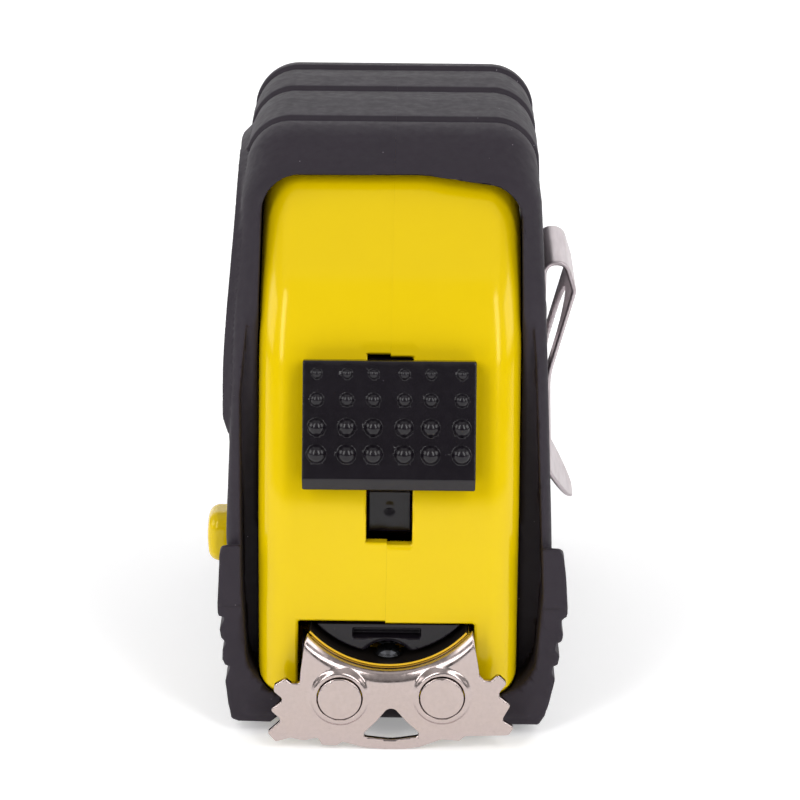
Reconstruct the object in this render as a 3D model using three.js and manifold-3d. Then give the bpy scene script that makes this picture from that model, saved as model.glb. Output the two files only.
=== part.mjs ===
// Pocket tape measure with a 25 mm blade, in millimetres, +Z up.
// Origin: on the flat underside, on the mid-plane, below the middle of the case.
// The blade leaves the mouth towards -Y. The belt clip is on +X, the side button on -X.
import * as THREE from "three";
import { mergeVertices } from "three/addons/utils/BufferGeometryUtils.js";
import Module from "manifold-3d";

const wasm = await Module();
wasm.setup();

// ---------- driving dimensions ----------
const SEAM = { left: 0.2, right: 0.3 };
const WALL = 2;
const CLEAR = 0.3;
const BOSS_RADIUS = 3;
const SHELL = { half: 18.5, edge: 4.5 };
const SHELL_CORNERS = [
  [-42, 7, 1.5],
  [-34, 2.2, 3],
  [40.2, 2.2, 11],
  [40.2, 81.6, 16.5],
  [-14.5, 81, 16],
  [-35.6, 62, 24],
  [-42, 34, 40],
];
const GRIP = {
  base: 21.6,
  wide: 23.1,
  wideZ: 28,
  topLeft: 21.35,
  topRight: 21,
  topCorner: 6.5,
  edge: 2.2,
  height: 83.6,
};
const GRIP_CORNERS = [
  [-41, 2.8, 1],
  [-34, 0, 3],
  [42, 0, 12],
  [42, GRIP.height, 17.5],
  [-12, 83.2, 12],
  [-22.5, 77.2, 8],
  [-34.5, 59, 30],
  [-39.6, 33, 30],
  [-39.8, 8, 3],
];
const WINDOW = { half: 18.8, topLeft: 77.7, topMiddle: 77.9, topRight: 76.4, rear: -8 };
const PANEL = { z: 44, radius: 34.9, face: -23.8, root: -20.5, leanFrom: 46, lean: 0.055 };
const BUTTON_ROOM = { y: -34, z: 26, radius: 18.5 };
const CHANNEL = { half: 21.9, halfTop: 18.9, top: 73, bottom: 4.4 };
const LABEL = { y: 5, z: 47, radius: 14, front: -23.6, back: -23.3 };
const MOUTH = { half: 12.5, bottom: 8.2, top: 17.9 };
// The blade is 25 mm wide when flat. Here it is curved, so its chord is shorter.
const BLADE = { chord: 22.4, sag: 5.2, base: 12.3, thick: 0.4, front: -43.9, rear: 22, flatHalf: 12.3 };
const DRUM = { z: 44, flange: 27.5, coil: 26, hub: 17, bore: 15.5, post: 3.5 };
const FLANGE_X = { inner: 13, outer: 13.6 };
const HOOK = { front: -46, back: -45.1, tabRear: -33.5 };
const MAGNET = { x: 7.2, z: 8.1, radius: 3.1, front: -46.8, back: -44.4 };
const CUP = { top: 3.9, foot: 4.7 };
const RIVET_Y = { front: -40.3, rear: -35.6 };
const HOOK_PLAY = 1;
const LOCK_PAD = { half: 12.3, bottom: 38.55, back: 55.6, top: 56.4 };
const LOCK_FACE = { lowY: -45.2, lowZ: 40.5, highY: -40.6, highZ: 56.2 };
const DOME_ROWS = [
  [43.8, 1.38],
  [47.4, 1.3],
  [51.1, 1],
  [54.6, 0.76],
];
const DOME_COLUMNS = [-10.2, -6, -2.3, 2, 5.7, 10];
const SLOT = { half: 3.25, bottom: 29.7, top: 56 };
const TONGUE_BOTTOM = 30.2;
const KEEPER_HALF = 6;
const BRAKE = { clear: 0.65, front: -41.7, inner: -39.7, rear: -34.2, top: 21, columnTop: 24.6 };
const BUTTON = { y: -25, z: 25, size: 8, out: -26.6, capIn: -20.4, stem: 2, plateIn: -15.3 };
const CLIP = { half: 10, thick: 0.7, mountX: 21.9, slotHalf: 6.4, tip: 23 };
const CASE_SCREWS = [
  [-15, 71.5],
  [30, 69],
  [32, 12],
  [-27.5, 8.6],
];
const GROOVES_Y = [-8, 10.3, 24];
const GROOVE = { radius: 1.7, rise: 0.35 };

const bladeRadius = (BLADE.chord ** 2 / 4 + BLADE.sag ** 2) / (2 * BLADE.sag);
const bladeCentreZ = BLADE.base + bladeRadius;

// ---------- materials ----------
const finish = (color, roughness, metalness = 0) =>
  new THREE.MeshStandardMaterial({ color, roughness, metalness });
const yellowPlastic = finish(0xf0d200, 0.28);
const blackRubber = finish(0x46404a, 0.75);
const blackPlastic = finish(0x26222a, 0.4);
const nickel = finish(0xc8bcba, 0.22, 1);
const satinSteel = finish(0xc4bab8, 0.38, 1);
const springSteel = finish(0x6f7276, 0.35, 1);
const bladePaint = finish(0xe8c21c, 0.35);
const labelFilm = finish(0x2c2a30, 0.3);

// ---------- helpers ----------
// A closed outline from corners [u, v, radius], with each corner rounded by an arc.
function outline(corners, degreesPerStep = 12) {
  const points = [];
  corners.forEach(([u, v, radius = 0], i) => {
    const corner = new THREE.Vector2(u, v);
    const before = corners[(i + corners.length - 1) % corners.length];
    const after = corners[(i + 1) % corners.length];
    const a = new THREE.Vector2(before[0], before[1]).sub(corner).normalize();
    const b = new THREE.Vector2(after[0], after[1]).sub(corner).normalize();
    const half = Math.acos(THREE.MathUtils.clamp(a.dot(b), -1, 1)) / 2;
    if (radius < 1e-6 || half > Math.PI / 2 - 1e-4) {
      points.push(corner);
      return;
    }
    const reach = radius / Math.tan(half);
    const middle = a.clone().add(b).normalize();
    const centre = corner.clone().addScaledVector(middle, radius / Math.sin(half));
    const start = corner.clone().addScaledVector(a, reach).sub(centre).angle();
    const end = corner.clone().addScaledVector(b, reach).sub(centre).angle();
    const sweep = THREE.MathUtils.euclideanModulo(end - start + Math.PI, 2 * Math.PI) - Math.PI;
    const sweepDegrees = THREE.MathUtils.radToDeg(Math.abs(sweep));
    const steps = Math.max(1, Math.round(sweepDegrees / degreesPerStep));
    for (let k = 0; k <= steps; k += 1) {
      const angle = start + (sweep * k) / steps;
      const spoke = new THREE.Vector2(radius, 0).rotateAround(new THREE.Vector2(), angle);
      points.push(spoke.add(centre));
    }
  });
  return points;
}

// The same corners moved inwards by a distance (outwards if it is negative). Runs anticlockwise.
function inset(corners, distance) {
  return corners.map(([u, v, radius], i) => {
    const before = corners[(i + corners.length - 1) % corners.length];
    const after = corners[(i + 1) % corners.length];
    const inward = (from, to) => {
      const along = new THREE.Vector2(to[0] - from[0], to[1] - from[1]).normalize();
      return new THREE.Vector2(-along.y, along.x);
    };
    const first = inward(before, [u, v]);
    const second = inward([u, v], after);
    const scale = distance / (1 + first.dot(second));
    return [
      u + (first.x + second.x) * scale,
      v + (first.y + second.y) * scale,
      Math.max(radius - distance, 0.3),
    ];
  });
}

function solid(geometry) {
  const bare = geometry.index ? geometry.toNonIndexed() : geometry.clone();
  const positions = new THREE.BufferGeometry().setAttribute("position", bare.getAttribute("position"));
  const merged = mergeVertices(positions, 1e-4);
  return new wasm.Manifold(
    new wasm.Mesh({
      numProp: 3,
      vertProperties: merged.attributes.position.array,
      triVerts: new Uint32Array(merged.index.array),
    }),
  );
}

function geometryOf(body) {
  const made = body.getMesh();
  const geometry = new THREE.BufferGeometry();
  geometry.setAttribute("position", new THREE.BufferAttribute(new Float32Array(made.vertProperties), 3));
  geometry.setIndex(new THREE.BufferAttribute(new Uint32Array(made.triVerts), 1));
  return geometry;
}

const axesX = new THREE.Matrix4().makeBasis(
  new THREE.Vector3(0, 1, 0),
  new THREE.Vector3(0, 0, 1),
  new THREE.Vector3(1, 0, 0),
);
const axesY = new THREE.Matrix4().makeBasis(
  new THREE.Vector3(1, 0, 0),
  new THREE.Vector3(0, 0, 1),
  new THREE.Vector3(0, -1, 0),
);

function extrude(points, depth) {
  return new THREE.ExtrudeGeometry(new THREE.Shape(points), { depth, bevelEnabled: false });
}

// An outline in (y, z), from x0 to x1.
function alongX(points, x0, x1) {
  return solid(extrude(points, x1 - x0).applyMatrix4(axesX).translate(x0, 0, 0));
}

// An outline in (x, z), from y0 to y1.
function alongY(points, y0, y1) {
  return solid(extrude(points, y1 - y0).applyMatrix4(axesY).translate(0, y1, 0));
}

// A closed skin over rings of equal length, each ring a [points, height] pair, flat at both ends.
function stack(rings) {
  const count = rings[0][0].length;
  const positions = rings.flatMap(([points, height]) => points.flatMap((p) => [p.x, p.y, height]));
  const index = [];
  for (let ring = 0; ring < rings.length - 1; ring += 1) {
    for (let i = 0; i < count; i += 1) {
      const a = ring * count + i;
      const b = ring * count + ((i + 1) % count);
      index.push(a, b, b + count, a, b + count, a + count);
    }
  }
  const top = (rings.length - 1) * count;
  THREE.ShapeUtils.triangulateShape(rings[0][0], []).forEach(([a, b, c]) => index.push(a, c, b));
  THREE.ShapeUtils.triangulateShape(rings.at(-1)[0], []).forEach(([a, b, c]) => {
    index.push(top + a, top + b, top + c);
  });
  const geometry = new THREE.BufferGeometry();
  geometry.setAttribute("position", new THREE.Float32BufferAttribute(positions, 3));
  geometry.setIndex(index);
  return geometry;
}

// Corners in (y, z), from x0 to x1, with both rims rounded to the edge radius.
function roundedSlab(corners, x0, x1, edge, steps = 3, degreesPerStep = 10) {
  const rim = Array.from({ length: steps + 1 }, (_, i) => {
    const angle = (i / steps) * (Math.PI / 2);
    return [edge * (1 - Math.sin(angle)), edge * (1 - Math.cos(angle))];
  });
  const ring = ([shrink, height]) => [outline(inset(corners, shrink), degreesPerStep), height];
  const lower = rim.map(ring);
  const upper = rim.map(([shrink, height]) => ring([shrink, x1 - x0 - height])).reverse();
  return solid(stack([...lower, ...upper]).applyMatrix4(axesX).translate(x0, 0, 0));
}

function box(x0, x1, y0, y1, z0, z1) {
  const geometry = new THREE.BoxGeometry(x1 - x0, y1 - y0, z1 - z0);
  return solid(geometry.translate((x0 + x1) / 2, (y0 + y1) / 2, (z0 + z1) / 2));
}

function rodX(radius, x0, x1, y, z, sides = 32) {
  const geometry = new THREE.CylinderGeometry(radius, radius, x1 - x0, sides);
  return solid(geometry.rotateZ(-Math.PI / 2).translate((x0 + x1) / 2, y, z));
}

function rodY(radius, y0, y1, x, z, sides = 32) {
  const geometry = new THREE.CylinderGeometry(radius, radius, y1 - y0, sides);
  return solid(geometry.translate(x, (y0 + y1) / 2, z));
}

const joined = (bodies) => bodies.reduce((all, one) => all.add(one));

// A band in (x, z) that follows the blade's curve, between two radii about the blade's centre line.
function bladeBand(inner, outer, half, steps = 14) {
  const arc = (radius, sign) =>
    Array.from({ length: steps + 1 }, (_, i) => {
      const angle = sign * Math.asin(half / outer) * (1 - (2 * i) / steps);
      return new THREE.Vector2(radius * Math.sin(angle), bladeCentreZ - radius * Math.cos(angle));
    });
  return [...arc(outer, -1), ...arc(inner, 1)];
}

// ---------- case shells ----------
function shellHollow() {
  return alongX(outline(inset(SHELL_CORNERS, WALL)), WALL - SHELL.half, SHELL.half - WALL);
}

function lockSlot() {
  return box(-SLOT.half, SLOT.half, -46, -34, SLOT.bottom, SLOT.top);
}

function screwBoss([y, z]) {
  return rodX(BOSS_RADIUS, -SHELL.half + 1, SHELL.half - 1, y, z, 20);
}

function screwHole([y, z]) {
  const shank = rodX(1.8, -9, SHELL.half + 1, y, z, 16);
  return shank.add(rodX(3.1, SHELL.half - 1.2, SHELL.half + 1, y, z, 20));
}

function caseBody() {
  const outer = roundedSlab(SHELL_CORNERS, -SHELL.half, SHELL.half, SHELL.edge, 3, 12);
  const bosses = joined(CASE_SCREWS.map(screwBoss)).intersect(outer);
  const mouth = box(-MOUTH.half, MOUTH.half, -46, -36, MOUTH.bottom, MOUTH.top);
  const buttonHole = rodX(BUTTON.stem + CLEAR + 0.1, -20, -14, BUTTON.y, BUTTON.z, 20);
  const clipHole = rodX(1.8, 14, 20, 0, 51, 16);
  return outer
    .subtract(shellHollow())
    .add(bosses)
    .subtract(joined(CASE_SCREWS.map(screwHole)))
    .subtract(joined([mouth, lockSlot(), buttonHole, clipHole]));
}

// ---------- rubber grips ----------
// Front view of the whole grip: widest a third of the way up, with rounded top corners.
function gripFront() {
  return outline([
    [-GRIP.base, 0, 2],
    [GRIP.base, 0, 2],
    [GRIP.wide, GRIP.wideZ, 30],
    [GRIP.topRight, GRIP.height + 0.2, GRIP.topCorner],
    [-GRIP.topLeft, GRIP.height + 0.2, GRIP.topCorner],
    [-GRIP.wide, GRIP.wideZ, 30],
  ]);
}

// The corner bumper's front view on the +X side, with scallops down its edge.
function bumperFront() {
  const scallops = [
    [24.9, 18.2, 0.3],
    [24, 17.7, 0.2],
    [24.5, 15.7, 0.4],
    [23.6, 14, 0.3],
    [24.1, 12.2, 0.4],
    [23.1, 10.5, 0.3],
    [23.6, 8.4, 0.5],
  ];
  return outline([
    [19, 1.7],
    [21.6, 1.7, 0.4],
    [22.5, 2.6, 0.5],
    [23.1, 4.8, 1.5],
    ...scallops.reverse(),
    [24.95, 19.4, 0.8],
    [24.6, 26.6, 1.5],
    [23.6, 28.9, 0.8],
    [19, 28.9],
  ]);
}

function bumper(side) {
  const points = bumperFront().map((p) => new THREE.Vector2(side * p.x, p.y));
  const block = alongY(side > 0 ? points : points.reverse(), -41, -30);
  const topWaste = alongX(outline([[-41, 28.9], [-29, 23.5], [-29, 30], [-41, 30]]), -30, 30);
  return block.subtract(topWaste);
}

// The open channel between the yellow nose and the rubber lips, and round the nose's lower corners.
function channelCut() {
  const outer = outline([
    [-CHANNEL.halfTop, CHANNEL.top],
    [-21.2, 50, 30],
    [-20.9, 22, 30],
    [-19.9, CHANNEL.bottom, 6],
    [-14, 6.4, 2],
    [14, 6.4, 2],
    [20.6, CHANNEL.bottom, 6],
    [CHANNEL.half, 22, 12],
    [20.4, 55, 30],
    [CHANNEL.halfTop, CHANNEL.top],
  ]);
  return alongY(outer, -60, -33.5);
}

function windowCut() {
  const opening = outline([
    [-WINDOW.half, 60, 0],
    [WINDOW.half, 60, 0],
    [WINDOW.half, WINDOW.topRight, 5],
    [4, WINDOW.topMiddle, 20],
    [-WINDOW.half, WINDOW.topLeft, 5],
  ]);
  return alongY(opening, -60, WINDOW.rear);
}

// The raised panel on the -X side: a disc cut away round the side button, leaning in at the top.
function raisedPanel() {
  const reach = PANEL.radius + 0.1;
  const corners = [
    [-reach, PANEL.z - reach, PANEL.radius],
    [reach, PANEL.z - reach, PANEL.radius],
    [reach, PANEL.z + reach, PANEL.radius],
    [-reach, PANEL.z + reach, PANEL.radius],
  ];
  const disc = roundedSlab(corners, PANEL.face, PANEL.root, 1.2, 2);
  const top = PANEL.leanFrom + 44;
  const leanWaste = outline([
    [PANEL.face, PANEL.leanFrom],
    [PANEL.face + PANEL.lean * (top - PANEL.leanFrom), top],
    [PANEL.face - 6, top],
    [PANEL.face - 6, PANEL.leanFrom],
  ]);
  const buttonRoom = rodX(BUTTON_ROOM.radius, -30, -15, BUTTON_ROOM.y, BUTTON_ROOM.z, 40);
  const labelSeat = rodX(LABEL.radius + 0.5, -30, LABEL.back, LABEL.y, LABEL.z, 40);
  return disc.subtract(alongY(leanWaste, -60, 60)).subtract(buttonRoom).subtract(labelSeat);
}

function topGrooves() {
  return joined(
    GROOVES_Y.map((y) => rodX(GROOVE.radius, -19.6, 30, y, GRIP.height + GROOVE.rise, 12)),
  );
}

function clipSeat() {
  return box(CLIP.mountX, 30, -CLIP.half - 0.6, CLIP.half + 0.6, 42, 90);
}

function gripBody() {
  const shape = roundedSlab(GRIP_CORNERS, -GRIP.wide - 0.2, GRIP.wide + 0.2, GRIP.edge, 2, 12);
  const tapered = shape.intersect(alongY(gripFront(), -60, 60));
  const coreHalf = SHELL.half + CLEAR;
  const core = roundedSlab(inset(SHELL_CORNERS, -CLEAR), -coreHalf, coreHalf, SHELL.edge, 3, 12);
  const reach = BUTTON.size / 2 + 0.4;
  const buttonHole = box(-30, -15, BUTTON.y - reach, BUTTON.y + reach, BUTTON.z - reach, BUTTON.z + reach);
  const screwHoles = joined(CASE_SCREWS.map(([y, z]) => rodX(3.3, 15, 30, y, z, 20)));
  const clipHole = rodX(1.8, 15, 30, 0, 51, 16);
  const openings = [channelCut(), windowCut(), topGrooves(), clipSeat()];
  return joined([tapered, bumper(-1), bumper(1), raisedPanel()]).subtract(
    joined([core, ...openings, buttonHole, screwHoles, clipHole]),
  );
}

const halfSpace = {
  left: () => box(-60, SEAM.left, -90, 90, -20, 120),
  right: () => box(SEAM.right, 60, -90, 90, -20, 120),
};

// ---------- thumb lock ----------
function lockDome(x, z, radius, faceY) {
  return solid(new THREE.SphereGeometry(radius, 8, 5).translate(x, faceY(z) + radius * 0.35, z));
}

function lockSlider() {
  const slope = (LOCK_FACE.highY - LOCK_FACE.lowY) / (LOCK_FACE.highZ - LOCK_FACE.lowZ);
  const faceY = (z) => LOCK_FACE.lowY + slope * (z - LOCK_FACE.lowZ);
  const pad = alongX(
    outline([
      [-41.6, LOCK_PAD.bottom, 0],
      [-37.4, LOCK_PAD.back, 0.4],
      [LOCK_FACE.highY, LOCK_PAD.top, 0.5],
      [LOCK_FACE.lowY, LOCK_FACE.lowZ, 0.3],
      [-44.1, LOCK_PAD.bottom, 0.3],
    ]),
    -LOCK_PAD.half,
    LOCK_PAD.half,
  );
  const domes = DOME_ROWS.flatMap(([z, radius]) =>
    DOME_COLUMNS.map((x) => lockDome(x, z, radius, faceY)),
  );
  const neck = alongX(
    outline([[-41, 38.6], [-34.6, 44], [-33, 55.4], [-37.5, 55.4]]),
    -SLOT.half + CLEAR,
    SLOT.half - CLEAR,
  );
  const tongue = alongX(
    outline([
      [-38.2, TONGUE_BOTTOM, 0.3],
      [-36.6, TONGUE_BOTTOM, 0.3],
      [-36.2, 38, 2],
      [-34.6, 45, 0],
      [-38, 45, 0],
      [-39.4, 42, 0],
      [-38.2, 36.2, 0],
    ]),
    -SLOT.half + CLEAR,
    SLOT.half - CLEAR,
  );
  const keeperSide = outline([[-34.5, 45.2], [-33.4, 45.2], [-31, 56], [-32.1, 56]]);
  const keeper = alongX(keeperSide, -KEEPER_HALF, KEEPER_HALF);
  return joined([pad, neck, tongue, keeper, ...domes]);
}

// ---------- blade brake in the mouth ----------
function brakeShoe() {
  const lower = bladeRadius - BRAKE.clear;
  const sag = (x) => bladeCentreZ - Math.sqrt(lower ** 2 - x ** 2);
  const half = 10.8;
  const steps = 12;
  const arc = Array.from({ length: steps + 1 }, (_, i) => {
    const x = -half + (2 * half * i) / steps;
    return new THREE.Vector2(x, sag(x));
  });
  const upTo = (z) => [...arc, new THREE.Vector2(half, z), new THREE.Vector2(-half, z)];
  const behindWall = alongY(upTo(BRAKE.top), BRAKE.inner, BRAKE.rear);
  const slab = alongY(upTo(BRAKE.top), BRAKE.front, BRAKE.inner);
  const inMouth = slab.intersect(box(-half, half, -50, -30, 8, MOUTH.top - CLEAR));
  const column = box(-4.5, 4.5, BRAKE.inner, BRAKE.rear, BRAKE.top - 1, BRAKE.columnTop);
  const rivetNotch = rodY(3.6, -46, -30, 0, 10.9, 32);
  const recess = box(-4.8, 4.8, -46, BRAKE.front + 1, 15.5, 16.9);
  return joined([behindWall, inMouth, column]).subtract(rivetNotch).subtract(recess);
}

// ---------- blade and reel ----------
function bladeStrip() {
  const band = bladeBand(bladeRadius, bladeRadius + BLADE.thick, BLADE.chord / 2);
  return alongY(band, BLADE.front, BLADE.rear);
}

function ring(outer, inner, x0, x1, sides) {
  return rodX(outer, x0, x1, 0, DRUM.z, sides).subtract(rodX(inner, x0 - 1, x1 + 1, 0, DRUM.z, sides));
}

function bladeCoil() {
  return ring(DRUM.coil, DRUM.hub + CLEAR, -BLADE.flatHalf, BLADE.flatHalf, 36);
}

function powerSpring() {
  const turns = 5;
  const stepsPerTurn = 14;
  const first = 4.6;
  const pitch = 2;
  const thickness = 0.6;
  const spiral = (offset) =>
    Array.from({ length: turns * stepsPerTurn + 1 }, (_, i) => {
      const angle = (2 * Math.PI * i) / stepsPerTurn;
      const radius = first + (pitch * i) / stepsPerTurn + offset;
      return new THREE.Vector2(radius * Math.cos(angle), DRUM.z + radius * Math.sin(angle));
    });
  return alongX([...spiral(thickness), ...spiral(0).reverse()], -11, 11);
}

function centrePost() {
  const post = rodX(DRUM.post, WALL - SHELL.half, SHELL.half - WALL, 0, DRUM.z, 24);
  return post.subtract(box(-12, 12, -0.4, 0.4, DRUM.z - 1, DRUM.z + 9));
}

// ---------- end hook ----------
function hookFront() {
  const sideTeeth = [
    [13.2, 10.2, 0.6],
    [15, 10.6, 0.6],
    [16.6, 9.5, 0.5],
    [15.3, 8.1, 0.5],
    [17, 6.7, 0.5],
    [15.3, 5.1, 0.5],
    [17.4, 3.6, 0.5],
    [16.2, 1.6, 0.5],
  ];
  const lowerEdge = [
    [11.8, 1.5, 0.4],
    [10.6, 2.3, 0.5],
    [9, 1, 0.4],
    [7.2, 1.6, 0.4],
    [3.2, 0.1, 5],
  ];
  const right = [[11.4, 17, 0.5], [12.9, 12.6, 3], ...sideTeeth, ...lowerEdge];
  const left = right.map(([x, z, r]) => [-x, z, r]).reverse();
  return outline([...left, ...right].reverse(), 30);
}

function hookPlate() {
  const bladeRoom = rodY(bladeRadius - 0.2, -60, -30, 0, bladeCentreZ, 64);
  const plate = alongY(hookFront(), HOOK.front, HOOK.back).subtract(bladeRoom);
  const tabOuter = bladeRadius + BLADE.thick + 1.1;
  const tab = alongY(bladeBand(tabOuter - 0.8, tabOuter, 11.2, 12), HOOK.back - 0.2, HOOK.tabRear);
  const lip = alongY(bladeBand(bladeRadius - 0.2, tabOuter, 11.2, 12), HOOK.front, HOOK.back);
  const rods = (radius, y0, y1) =>
    [-1, 1].map((side) => rodY(radius, y0, y1, side * MAGNET.x, MAGNET.z, 24));
  const cups = rods(CUP.top, -46.45, HOOK.back);
  const cupFoot = rods(CUP.foot, HOOK.front - 0.15, HOOK.back);
  const magnetHoles = rods(MAGNET.radius + CLEAR, -50, -40);
  const nailHole = alongY(outline([[-4.2, 2, 0.6], [4.2, 2, 0.6], [0, 6.7, 1.2]]), -50, -40);
  const rivetSlots = Object.values(RIVET_Y).map((y) =>
    box(-1.3, 1.3, y - 1.3 - HOOK_PLAY, y + 1.3, 5, 20),
  );
  return joined([plate, lip, tab, ...cups, ...cupFoot]).subtract(
    joined([...magnetHoles, nailHole, ...rivetSlots]),
  );
}

function magnet(side) {
  return rodY(MAGNET.radius, MAGNET.front, MAGNET.back, side * MAGNET.x, MAGNET.z, 28);
}

// A rivet in the blade: the dome above, the shank through the tab's slot, and the tail below.
function rivet(y) {
  const top = BLADE.base + 0.4;
  const shankShape = new THREE.CylinderGeometry(1, 1, 3, 10);
  const shank = solid(shankShape.rotateX(Math.PI / 2).translate(0, y, BLADE.base - 0.6));
  const ball = solid(new THREE.SphereGeometry(2, 10, 8).scale(1, 1, 0.6).translate(0, y, top));
  const dome = ball.intersect(box(-3, 3, y - 3, y + 3, top, top + 3));
  const tailShape = new THREE.CylinderGeometry(1.9, 1.9, 0.5, 12);
  const tail = solid(tailShape.rotateX(Math.PI / 2).translate(0, y, BLADE.base - 2.05));
  return joined([shank, dome, tail]);
}

function bladeWithHoles() {
  const holes = Object.values(RIVET_Y).map((y) => box(-1.2, 1.2, y - 1.2, y + 1.2, 11, 14));
  return bladeStrip().subtract(joined(holes));
}

// ---------- mouth bumper under the blade ----------
function mouthBumper() {
  const top = bladeRadius + BLADE.thick + 1.1 + 0.9;
  const steps = 10;
  const half = MOUTH.half - CLEAR;
  const arc = Array.from({ length: steps + 1 }, (_, i) => {
    const x = half - (2 * half * i) / steps;
    return new THREE.Vector2(x, bladeCentreZ - Math.sqrt(top ** 2 - x ** 2));
  });
  const floor = [new THREE.Vector2(-half, MOUTH.bottom), new THREE.Vector2(half, MOUTH.bottom)];
  const block = alongY([...floor, ...arc], -43, -37.5);
  const rivetRoom = box(-2.6, 2.6, -50, -30, 9, 20);
  return block.subtract(rivetRoom);
}

// ---------- side button ----------
function sideButton() {
  const s = BUTTON.size / 2;
  const square = (h) => [
    [BUTTON.y - h, BUTTON.z - h, 1.6],
    [BUTTON.y + h, BUTTON.z - h, 1.6],
    [BUTTON.y + h, BUTTON.z + h, 1.6],
    [BUTTON.y - h, BUTTON.z + h, 1.6],
  ];
  const cap = roundedSlab(square(s), BUTTON.out, BUTTON.capIn, 1, 2, 30);
  const pocket = rodX(3.1, -25, BUTTON.capIn + 1, BUTTON.y, BUTTON.z, 20);
  const stem = rodX(BUTTON.stem - 0.4, -25.4, BUTTON.plateIn - 0.8, BUTTON.y, BUTTON.z, 20);
  return cap.subtract(pocket).add(stem);
}

function buttonBrakePad() {
  const corners = [[-28, 22, 2], [-21, 22, 2], [-13, 32, 2], [-18, 36, 2], [-28, 28, 2]];
  return alongX(outline(corners, 30), BUTTON.plateIn - 0.8, BUTTON.plateIn);
}

class Helix extends THREE.Curve {
  getPoint(t, target = new THREE.Vector3()) {
    const angle = 2 * Math.PI * 4 * t;
    const y = BUTTON.y + 2.45 * Math.cos(angle);
    const z = BUTTON.z + 2.45 * Math.sin(angle);
    return target.set(-24.6 + 5.8 * t, y, z);
  }
}

function buttonSpring() {
  const wire = new THREE.Shape([
    new THREE.Vector2(0.25, 0),
    new THREE.Vector2(0, 0.25),
    new THREE.Vector2(-0.25, 0),
    new THREE.Vector2(0, -0.25),
  ]);
  const settings = { steps: 40, extrudePath: new Helix(), bevelEnabled: false };
  return solid(new THREE.ExtrudeGeometry(wire, settings));
}

// ---------- belt clip ----------
// The clip's strip in (x, z): mounting leg, bend over the top, spring leg in to the case, and flared tip.
function clipPath() {
  const path = new THREE.CurvePath();
  const at = (x, z) => new THREE.Vector2(x, z);
  const m = CLIP.mountX + CLIP.thick / 2;
  path.add(new THREE.LineCurve(at(m, 47), at(m, 60.2)));
  path.add(new THREE.CubicBezierCurve(at(m, 60.2), at(m, 62.4), at(25.1, 62.4), at(25.9, 60.3)));
  path.add(new THREE.CubicBezierCurve(at(25.9, 60.3), at(26.7, 57.9), at(26.8, 57.8), at(26.4, 56.3)));
  path.add(new THREE.LineCurve(at(26.4, 56.3), at(23.6, 46.1)));
  path.add(new THREE.CubicBezierCurve(at(23.6, 46.1), at(23.2, 44.6), at(23.2, 44), at(23.25, 42)));
  path.add(new THREE.LineCurve(at(23.25, 42), at(23.6, 29.9)));
  path.add(new THREE.LineCurve(at(23.6, 29.9), at(27.3, CLIP.tip)));
  return path;
}

function clipStrip() {
  const path = clipPath();
  const steps = [1, 8, 6, 1, 4, 1, 1];
  const centre = path.curves.flatMap((curve, i) => curve.getPoints(steps[i]).slice(i ? 1 : 0));
  const side = (offset) =>
    centre.map((p, i) => {
      const before = centre[Math.max(i - 1, 0)];
      const after = centre[Math.min(i + 1, centre.length - 1)];
      const along = after.clone().sub(before).normalize();
      return new THREE.Vector2(p.x - along.y * offset, p.y + along.x * offset);
    });
  const half = CLIP.thick / 2;
  return alongY([...side(half), ...side(-half).reverse()], -CLIP.half, CLIP.half);
}

function beltClip() {
  const slot = alongX(
    outline([
      [-CLIP.slotHalf, 33, 6.2],
      [CLIP.slotHalf, 33, 6.2],
      [CLIP.slotHalf, 55.2, 6.2],
      [-CLIP.slotHalf, 55.2, 6.2],
    ]),
    22.7,
    30,
  );
  const screwHole = rodX(1.9, 20, 22.7, 0, 51, 20);
  const tipWaste = [
    [-12, 20],
    [12, 20],
    [12, 36],
    [10, 36],
    [10, CLIP.tip, 9],
    [-10, CLIP.tip, 9],
    [-10, 36],
    [-12, 36],
  ];
  const tipRounding = alongX(outline(tipWaste), 20, 30);
  return clipStrip().subtract(slot).subtract(screwHole).subtract(tipRounding);
}

// ---------- fasteners ----------
function screw(headRadius, headX0, headX1, shankRadius, tipX, y, z) {
  const head = rodX(headRadius, headX0, headX1, y, z, 20);
  const shank = rodX(shankRadius, tipX, headX0 + 0.1, y, z, 12);
  const slots = [
    box(headX1 - 0.8, headX1 + 1, y - headRadius * 0.6, y + headRadius * 0.6, z - 0.35, z + 0.35),
    box(headX1 - 0.8, headX1 + 1, y - 0.35, y + 0.35, z - headRadius * 0.6, z + headRadius * 0.6),
  ];
  return head.add(shank).subtract(joined(slots));
}

// ---------- assembly ----------
const group = new THREE.Group();

function place(name, body, material) {
  const mesh = new THREE.Mesh(geometryOf(body), material);
  mesh.name = name;
  group.add(mesh);
}

const body = caseBody();
const grip = gripBody();
for (const side of ["left", "right"]) {
  place(`${side}_shell`, body.intersect(halfSpace[side]()), yellowPlastic);
  place(`${side}_grip`, grip.intersect(halfSpace[side]()), blackRubber);
}
place("lock_slider", lockSlider(), blackPlastic);
place("brake_shoe", brakeShoe(), blackPlastic);
place("mouth_bumper", mouthBumper(), blackRubber);
place("blade_strip", bladeWithHoles(), bladePaint);
place("blade_coil", bladeCoil(), bladePaint);
place("drum_hub", ring(DRUM.hub, DRUM.bore, -FLANGE_X.inner, FLANGE_X.inner, 32), blackPlastic);
place("drum_flange_left", ring(DRUM.flange, 3.9, -FLANGE_X.outer, -FLANGE_X.inner, 36), blackPlastic);
place("drum_flange_right", ring(DRUM.flange, 3.9, FLANGE_X.inner, FLANGE_X.outer, 36), blackPlastic);
place("power_spring", powerSpring(), springSteel);
place("centre_post", centrePost(), springSteel);
place("hook_plate", hookPlate(), nickel);
place("magnet_left", magnet(-1), nickel);
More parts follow.
